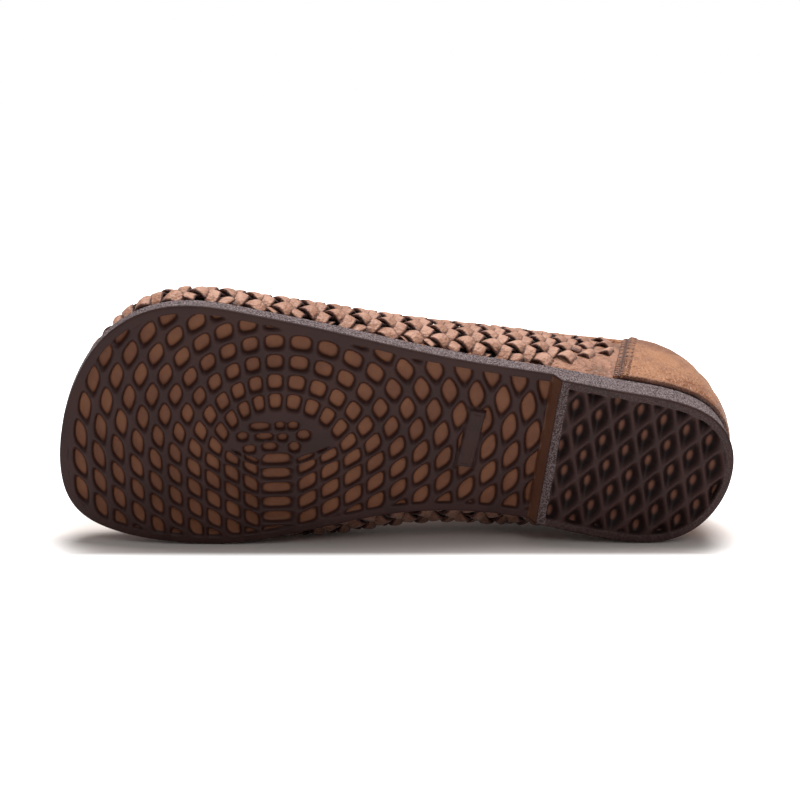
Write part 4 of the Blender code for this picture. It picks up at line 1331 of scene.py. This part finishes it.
def make_panel(name, side):
    """Plain quarter panel of one side (+1 lateral, -1 medial), from under the counter forward.

    Its face ripples by two slow waves, and its front edge wavers where the strips dive in.
    """
    share = np.linspace(0, 1, PANEL_GRID[1])
    rise = -0.985 + 1.975 * share
    middle = angle_of(PANEL_MIDDLE, rise, side)
    line = last_point(middle, climb_of(rise, middle))
    to_sole = np.concatenate([[0], np.cumsum(np.linalg.norm(np.diff(line, axis=0), axis=-1))])
    back = COUNTER_FOOT - COUNTER_LEAN * (line[:, 2] - HEEL_TOP) - PANEL_UNDER
    front = panel_edge(to_sole) + 0.8 * np.sin(share * 19.0)
    rows = np.linspace(0, 1, PANEL_GRID[0])[:, None]
    x = back + (front - back) * rows
    angles = angle_of(x, rise[None], side)
    climbs = climb_of(rise[None], angles)
    stand = PANEL_OUT + 0.13 * np.sin(x * 0.9 + 5.0 * climbs)
    stand += 0.10 * np.sin(x * 0.37 - 11.0 * climbs)
    stand += PANEL_SWELL * soft_step(12.0, 3.0, x - back)
    stand -= PANEL_GROOVE * np.exp(-((share - 0.07) / 0.015) ** 2)
    stand -= PANEL_LIP * soft_step(0.93, 1.0, rows)
    base, outward = skin(angles, climbs)
    edge = np.clip(soft_step(0.955, 1.0, rows) + soft_step(0.06, 0.0, share) * 0.7, 0, 1)
    panel = shell(name, base + outward * stand[..., None], base + outward * PANEL_IN,
                  {"edge": edge, "shade": 0.0})
    panel.data.materials.append(PANEL_LEATHER)
    return panel


make_panel("lateral_quarter_panel", 1)
make_panel("medial_quarter_panel", -1)

# %% [markdown]
# ## Heel counter and seam straps
# The counter is one smooth piece of leather round the heel. It is creased where the heel bends it.
# Sculpting or a cloth run could make creases, but not where they are wanted, so a few long soft
# troughs are listed, running forward and down from the collar. A narrow strap covers the
# seam where the counter meets the quarter panel. Rows of stitches run along it, and pull it down
# at each hole, so the strap's form and the stitches are worked out from the same numbers.

# %% Counter
COUNTER_OUT = 2.0        # height of the counter's face over the last
COUNTER_RIM = 0.75       # and of its rim
COUNTER_IN = 0.5
COUNTER_GRID = (301, 80)
RIM_SHARE = 0.02         # share of its size over which the rim is rounded
WELT_LINE = 0.4          # depth of the line pressed in just over the sole
CREASES = (
    # place round the heel (-1..1), climb, lean, length, width, depth
    (0.62, 0.30, 0.9, 0.30, 0.030, 0.42),
    (0.50, 0.42, 1.1, 0.26, 0.035, 0.36),
    (0.36, 0.30, 0.7, 0.34, 0.030, 0.30),
    (0.80, 0.20, 0.8, 0.22, 0.028, 0.34),
    (0.70, 0.52, 1.2, 0.20, 0.030, 0.34),
    (-0.55, 0.34, -0.9, 0.30, 0.035, 0.40),
    (-0.38, 0.46, -1.1, 0.28, 0.035, 0.34),
    (-0.74, 0.24, -0.8, 0.22, 0.028, 0.34),
    (0.05, 0.62, 0.2, 0.30, 0.040, 0.25),
)


def crease_field(turn, climb):
    """Sum of soft troughs: each a bell across a leaning line, with a small ridge beside it."""
    field = np.zeros(np.broadcast(turn, climb).shape)
    for place, height, lean, length, width, depth in CREASES:
        away = (turn - place) + lean * 0.25 * (climb - height)
        fade = np.exp(-((climb - height) / length) ** 2 * 2.5)
        field -= depth * fade * np.exp(-(away / width) ** 2)
        field += 0.45 * depth * fade * np.exp(-((away - 2.1 * width) / width) ** 2)
    return field


def make_counter():
    """Shell round the heel between two forms a little larger than the last, its rim rounded."""
    turn = np.linspace(-1, 1, COUNTER_GRID[0])[:, None]
    share = np.linspace(0, 1, COUNTER_GRID[1])[None, :]
    rise = -0.985 + 1.955 * share
    ends = [angle_of(COUNTER_FOOT, rise, side, COUNTER_LEAN) for side in (1, -1)]
    angles = np.abs(turn) * np.where(turn > 0, *ends)
    border = np.minimum(1 - np.abs(turn), np.minimum(share, 1 - share)) / RIM_SHARE
    rounded = np.sqrt(np.clip(1 - (1 - np.clip(border, 0, 1)) ** 2, 0, 1))
    stand = COUNTER_RIM + (COUNTER_OUT - COUNTER_RIM + crease_field(turn, rise)) * rounded
    stand += 0.05 * np.sin(turn * 37 + rise * 9) + 0.04 * np.sin(turn * 61 - rise * 17)
    stand -= WELT_LINE * np.exp(-((share - 0.085 - 0.01 * np.sin(turn * 9.0)) / 0.014) ** 2)
    base, outward = skin(angles, climb_of(rise, angles))
    # Edge mark: the rounded rim goes dark, and the counter darkens towards the sole over its lowest
    # tenth.
    edge = np.clip(np.clip(1 - border, 0, 1) * 0.6 + 0.5 * soft_step(0.10, 0.0, share), 0, 1)
    piece = shell("counter_shell", base + outward * stand[..., None], base + outward * COUNTER_IN,
                  {"edge": edge, "shade": 0.0})
    piece.data.materials.append(COUNTER_LEATHER)
    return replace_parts(piece, "heel_counter")


make_counter()


# %% Seam straps
STRAP_HALF = 3.0
STRAP_GRID = (260, 26)
STRAP_FACE = 2.4         # height of the strap's face over the last, on the counter
STRAP_DROP = 1.0         # how far it comes down in front, on the quarter panel
STRAP_ROUND = 0.95       # height of its rounded edges
GROOVE = 0.5             # depth of the groove along it
GROOVE_AT = 0.9          # in front of its middle
SEAM_ROWS = (-2.3, -0.3, 2.1)      # rows of stitches, in front of the strap's middle
STITCHES = 18                      # in a row
PUCKER = 0.5             # how far a stitch hole is pulled down


def strap_place(side, share, offset):
    """Angle and climb of a place on a seam strap: share up it, offset mm in front of its middle."""
    rise = -0.98 + 1.97 * share
    angle = angle_of(COUNTER_FOOT + offset, rise, side, COUNTER_LEAN)
    return angle, climb_of(rise, angle)


def stitch_holes(share, offset, width):
    """1 in each stitch hole: the upper half of a cosine up the strap, a bell across each row."""
    near = sum(np.exp(-((offset - row) / width) ** 2) for row in SEAM_ROWS)
    return np.clip(np.cos(2 * math.pi * (STITCHES * share - 0.5)), 0, 1) * near


def strap_stand(share, offset):
    """Height of the strap over the last: a flat ridge with rounded edges, puckered by its seam."""
    round_off = np.sqrt(np.clip(1 - (offset / STRAP_HALF) ** 6, 0, 1))
    sunk = GROOVE * np.exp(-((offset - GROOVE_AT) / 0.55) ** 2)
    step = STRAP_DROP * soft_step(-0.6, 2.4, offset)
    return (STRAP_FACE - STRAP_ROUND * (1 - round_off) - step - sunk
            - PUCKER * stitch_holes(share, offset, 0.55))


def make_strap(name, side):
    """Strap over the counter's front edge, from the sole to the collar."""
    share = np.linspace(0, 1, STRAP_GRID[0])[:, None]
    offset = np.linspace(-STRAP_HALF, STRAP_HALF, STRAP_GRID[1])[None, :]
    base, outward = skin(*strap_place(side, share, offset))
    stand = strap_stand(share, offset)
    under = np.minimum(np.where(offset < -0.5, 1.4, -0.6), stand - 0.15)
    # Shade mark: 0.2 is the strap's own darker tone; the groove and the stitch holes get painted
    # shade.
    groove = 0.8 * np.exp(-((offset - GROOVE_AT) / 0.7) ** 2)
    piece = shell(name, base + outward * stand[..., None], base + outward * under[..., None],
                  {"edge": np.clip((np.abs(offset) - STRAP_HALF + 0.5) / 0.4, 0, 1),
                   "shade": np.clip(0.2 + groove + 1.5 * stitch_holes(share, offset, 0.5), 0, 1)})
    piece.data.materials.append(COUNTER_LEATHER)
    return piece


make_strap("lateral_seam_strap", 1)
make_strap("medial_seam_strap", -1)


# %% Stitches
STITCH = np.array((
    # along, across, out: a low eight-sided pill
    (-1.0, 0.0, 0.0), (-0.8, -0.8, 0.0), (-0.8, 0.8, 0.0), (-0.8, 0.0, 0.9),
    (0.8, -0.8, 0.0), (0.8, 0.8, 0.0), (0.8, 0.0, 0.9), (1.0, 0.0, 0.0),
    (-0.8, 0.0, -0.6), (0.8, 0.0, -0.6),
))
STITCH_FACES = np.array((
    (0, 1, 3), (0, 3, 2), (0, 2, 8), (0, 8, 1), (7, 6, 4), (7, 5, 6), (7, 9, 5), (7, 4, 9),
    (1, 4, 6), (1, 6, 3), (3, 6, 5), (3, 5, 2), (2, 5, 9), (2, 9, 8), (8, 9, 4), (8, 4, 1),
))
STITCH_SIZE = np.array((0.75, 0.32, 0.32))     # half length, half width and height
STITCH_STAND = 0.02      # over the strap


def sew(name, side):
    """Rows of stitches on a seam strap: the pill carried to each place in its own three ways.

    Along is the row's way less its part that points out of the leather; across is square to both.
    """
    share = (np.arange(STITCHES) + 0.5) / STITCHES
    rows = []
    for offset in SEAM_ROWS:
        base, normal = skin(*strap_place(side, share, offset))
        normal /= np.linalg.norm(normal, axis=-1, keepdims=True)
        spot = base + normal * (strap_stand(share, offset) + STITCH_STAND)[:, None]
        rows.append((spot, np.gradient(spot, axis=0), normal))
    spot, along, normal = (np.concatenate(part) for part in zip(*rows))
    along -= normal * (along * normal).sum(axis=-1, keepdims=True)
    along /= np.linalg.norm(along, axis=-1, keepdims=True)
    ways = np.stack([along, np.cross(normal, along), normal], axis=1)
    body = spot[:, None] + (STITCH * STITCH_SIZE) @ ways
    faces = STITCH_FACES[None] + np.arange(len(spot))[:, None, None] * len(STITCH)
    mesh = bpy.data.meshes.new(name)
    mesh.from_pydata(to_row(body.reshape(-1, 3)), [], faces.reshape(-1, 3).tolist())
    piece = finish_piece(name, mesh)
    piece.data.materials.append(DARK_THREAD)
    return piece


sew("lateral_strap_stitches", 1)
sew("medial_strap_stitches", -1)

# %% [markdown]
# ## Collar binding, feather edge and insole
# A soft rolled binding finishes the collar. Where the strips turn in under the upper, their raw
# ends make a narrow ragged band along the sole, the feather edge. Both could be curves with a
# bevel, but they have to lie on the last all the way round, so each is a section carried along a
# path on it. The insole is a smooth leather bed with a pressed margin, and lies inside the foot of
# the upper.

# %% Binding
BINDING_SINK = 1.2       # middle of the roll, under the last's surface
BINDING_OUT = 1.75       # its half height and half width
BINDING_SIDE = 2.3
BINDING_GRID = (420, 14)


def collar_path(count):
    """Even places round the collar: from the throat by the medial side to the heel, and back."""
    throat = math.acos(1 - 2 * (THROAT - SPINE_START[0]) / (SPINE_END[0] - SPINE_START[0])) - 1e-4
    angles = np.linspace(-throat, throat, 1600)
    path = last_point(angles, collar_climb(angles), -BINDING_SINK)
    length = np.concatenate([[0], np.cumsum(np.linalg.norm(np.diff(path, axis=0), axis=-1))])
    return np.interp(np.linspace(0, length[-1], count, endpoint=False), length, angles)


def make_binding():
    """Roll of leather over the collar's edge: an ellipse carried along it, square to its path."""
    count, sections = BINDING_GRID
    angles = collar_path(count)
    climbs = collar_climb(angles)
    spine = last_point(angles, climbs, -BINDING_SINK)
    out = last_point(angles, climbs) - spine
    out /= np.linalg.norm(out, axis=-1, keepdims=True)
    ahead = np.roll(spine, -1, axis=0) - np.roll(spine, 1, axis=0)
    ahead /= np.linalg.norm(ahead, axis=-1, keepdims=True)
    turn = np.linspace(0, 2 * math.pi, sections, endpoint=False)
    body = (spine[:, None] + out[:, None] * (np.cos(turn) * BINDING_OUT)[:, None]
            + np.cross(out, ahead)[:, None] * (np.sin(turn) * BINDING_SIDE)[:, None])
    piece = make_piece("collar_binding", body.reshape(-1, 3), closed_quads(count, sections),
                       merge=0)
    piece.data.materials.append(COUNTER_LEATHER)
    return piece


make_binding()


# %% Feather edge
FEATHER_PLACES = 1500
FEATHER_THICK = 0.8
FEATHER_OUT = -0.75      # its stand over the last
FEATHER_UNDER_COUNTER = 0.6        # how much deeper it lies behind the counter's front edge
RAGGED = (
    # height, count round the shoe and start of each wave
    (0.30, 83, 0.0), (0.22, 131, 1.0), (0.18, 211, 2.0),
)


def make_feather():
    """Ragged band of strip ends along the sole: its height and width wander by a sum of waves."""
    angles = np.linspace(0, 2 * math.pi, FEATHER_PLACES, endpoint=False)
    ragged = sum(height * np.sin(angles * waves + start) for height, waves, start in RAGGED)
    front = (1 - np.cos(angles)) / 2 * SOLE_LENGTH > COUNTER_FOOT + 3.0
    out = FEATHER_OUT + 0.45 * ragged
    top = -0.80 + 0.05 * ragged
    outer = np.stack([last_point(angles, -0.995, -0.9), last_point(angles, -0.96),
                      last_point(angles, (top - 1) / 2), last_point(angles, top)], axis=1)
    lift = np.stack([np.full_like(out, -0.2), out + 0.1, out, out - 0.6], axis=1)
    lift += np.where(front, 0.0, -FEATHER_UNDER_COUNTER)[:, None]
    away = skin(angles, -0.9)[1][:, None]
    outer = outer + away * lift[..., None]
    ring = np.concatenate([outer, (outer - away * FEATHER_THICK)[:, ::-1]], axis=1)
    piece = make_piece("feather_edge", ring.reshape(-1, 3), closed_quads(*ring.shape[:2]), merge=0)
    piece.data.materials.append(RAW_LEATHER)
    return piece


make_feather()


# %% Insole
INSOLE_INSET = FEATHER + WALL + GAP + 0.5
INSOLE_THICK = 3.0
INSOLE_GRID = (161, 81)
BED_ROUND = 0.8          # how far its edge comes down, over one mm
BED_LINE = (4.0, 0.28)   # distance of the pressed line from the edge, and its depth


def make_insole():
    """Foot bed: chords between the two sides of an inset edge, its rim a quarter circle."""
    turn = np.linspace(0, math.pi, INSOLE_GRID[0])
    lateral = sole_edge(turn, INSOLE_INSET)
    medial = sole_edge(2 * math.pi - turn, INSOLE_INSET)
    medial[[0, -1]] = lateral[[0, -1]]
    share = np.linspace(0, 1, INSOLE_GRID[1])[None, :, None]
    plan = medial[:, None] * (1 - share) + lateral[:, None] * share
    near = np.minimum(share, 1 - share)[..., 0] * np.linalg.norm(lateral - medial, axis=-1)[:, None]
    near = np.minimum(near, np.minimum(turn, math.pi - turn)[:, None] * 60)
    rise = INSOLE_THICK - BED_ROUND * (1 - np.sqrt(1 - (1 - np.clip(near, 0, 1)) ** 2))
    rise -= BED_LINE[1] * np.exp(-((near - BED_LINE[0]) / 0.35) ** 2)
    under = np.concatenate([plan, (sole_top(plan[..., 0]) + GAP)[..., None]], axis=-1)
    top = under + rise[..., None] * np.array((0.0, 0.0, 1.0))
    piece = shell("foot_bed", top, under, merge=0.005)
    piece.data.materials.append(BED_LEATHER)
    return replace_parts(piece, "insole")


make_insole()

# %% [markdown]
# ## Studio
# The shoe lies on a plain white floor under one broad soft light from above, with a weaker one in
# front, as product pictures are lit. The camera looks at the sole from a little above. A plain
# floor would show grey beside the white backdrop. So away from the shoe, and for the camera alone,
# the floor gives out light of its own. Close to the shoe it gives none, so the lamps' shade shows,
# and there its colour is tinted darker and warmer: a painted shadow with a crisp painted front
# edge.

# %% Camera
CAMERA_AIM = np.array([0.00093, 0.0, 0.05134])
CAMERA_AWAY = 0.900
CAMERA_AZIMUTH = math.radians(-6.09)
CAMERA_ELEVATION = math.radians(9.32)
CAMERA_ROLL = math.radians(0.85)
CAMERA_LENS = 105.9

ahead = -np.array([math.sin(CAMERA_AZIMUTH) * math.cos(CAMERA_ELEVATION),
                   -math.cos(CAMERA_AZIMUTH) * math.cos(CAMERA_ELEVATION),
                   math.sin(CAMERA_ELEVATION)])
right = np.cross(ahead, [0.0, 0.0, 1.0])
right /= np.linalg.norm(right)
upright = np.cross(right, ahead)
rolled_right = right * math.cos(CAMERA_ROLL) + upright * math.sin(CAMERA_ROLL)
rolled_up = -right * math.sin(CAMERA_ROLL) + upright * math.cos(CAMERA_ROLL)
camera = bpy.data.objects.new("camera", bpy.data.cameras.new("camera"))
camera.data.lens = CAMERA_LENS
camera.data.sensor_width = 36.0
turned = Matrix(np.stack([rolled_right, rolled_up, -ahead], axis=1).tolist()).to_4x4()
camera.matrix_world = Matrix.Translation(Vector(CAMERA_AIM - ahead * CAMERA_AWAY)) @ turned
bpy.context.scene.collection.objects.link(camera)
bpy.context.scene.camera = camera
print("camera at", [round(c, 3) for c in camera.matrix_world.translation])


# %% Floor
FLOOR_REACH = 4.0        # half its size, m
FLOOR_DROP = 0.0002      # under the shoe
# The shade under the shoe is partly painted: inside an ellipse and behind a slanted front line the
# floor takes the darker FLOOR_SHADED colour and gives the camera no light of its own.
SHADE_FRONT = -0.034     # front edge of the shade under the shoe
SHADE_SLANT = 0.041      # how far that edge turns, per m of x
SHADE_SOFT = 0.012
SHADE_LONG = 0.140       # half sizes of the ellipse that holds the shade
SHADE_WIDE = 0.090
FLOOR_SHADED = (0.84, 0.77, 0.73)
FLOOR_WHITE = (0.93, 0.93, 0.93)


def squared_share(tree, value, half):
    """Square of a value over a half size."""
    share = maths(tree, "ABSOLUTE", maths(tree, "DIVIDE", value, half), 0.0)
    return maths(tree, "POWER", share, 2.0)


def floor_white():
    """White as bright as the backdrop away from the shoe; near it, a painted shadow's darker tint.
    """
    material, tree, shader = new_material("floor_white")
    place = tree.nodes.new("ShaderNodeSeparateXYZ")
    wire(tree, object_place(tree), place.inputs[0])
    x, y = place.outputs["X"], place.outputs["Y"]
    slanted = maths(tree, "ADD", y, maths(tree, "MULTIPLY", x, SHADE_SLANT))
    away = ramp(tree, maths(tree, "ADD", squared_share(tree, x, SHADE_LONG),
                            squared_share(tree, y, SHADE_WIDE)), 0.70, 1.25)
    in_front = ramp(tree, slanted, SHADE_FRONT, SHADE_FRONT - SHADE_SOFT)
    bright = maths(tree, "MAXIMUM", in_front, away)
    wire(tree, blend(tree, bright, FLOOR_SHADED, FLOOR_WHITE), shader.inputs["Base Color"])
    seen = tree.nodes.new("ShaderNodeLightPath").outputs["Is Camera Ray"]
    wire(tree, maths(tree, "MULTIPLY", bright, seen), shader.inputs["Emission Strength"])
    shader.inputs["Emission Color"].default_value = (1.0, 1.0, 1.0, 1.0)
    shader.inputs["Roughness"].default_value = 0.6
    shader.inputs["Specular IOR Level"].default_value = 0.2
    return material


floor_mesh = bpy.data.meshes.new("floor")
floor_mesh.from_pydata([(x * FLOOR_REACH, y * FLOOR_REACH, -FLOOR_DROP)
                        for x, y in ((-1, -1), (1, -1), (1, 1), (-1, 1))], [], [(0, 1, 2, 3)])
floor_mesh.materials.append(floor_white())
floor = bpy.data.objects.new("floor", floor_mesh)
bpy.context.scene.collection.objects.link(floor)


# %% Lights
WORLD_LIGHT = 0.24       # what the backdrop gives the shoe; the camera sees it at full white


def make_light(name, place, aim, size, power):
    """Square soft light that looks from its place at its aim."""
    lamp = bpy.data.lights.new(name, "AREA")
    lamp.size = size
    lamp.energy = power
    light = bpy.data.objects.new(name, lamp)
    light.location = place
    light.rotation_euler = (Vector(aim) - Vector(place)).to_track_quat("-Z", "Y").to_euler()
    bpy.context.scene.collection.objects.link(light)


make_light("top_softbox", (0.1, 0.35, 2.4), (0.0, 0.1, 0.0), 1.6, 76.0)
make_light("front_softbox", (0.15, -1.3, 0.9), (0.0, 0.0, 0.04), 0.6, 3.0)
world = bpy.data.worlds.new("studio")
world.use_nodes = True
backdrop = world.node_tree.nodes["Background"]
backdrop.inputs["Color"].default_value = (1.0, 1.0, 1.0, 1.0)
seen = world.node_tree.nodes.new("ShaderNodeLightPath").outputs["Is Camera Ray"]
wire(world.node_tree, ramp(world.node_tree, seen, 0.0, 1.0, WORLD_LIGHT, 1.0),
     backdrop.inputs["Strength"])
bpy.context.scene.world = world
bpy.context.scene.view_settings.view_transform = "Standard"
print("lights:", [light.name for light in bpy.data.lights])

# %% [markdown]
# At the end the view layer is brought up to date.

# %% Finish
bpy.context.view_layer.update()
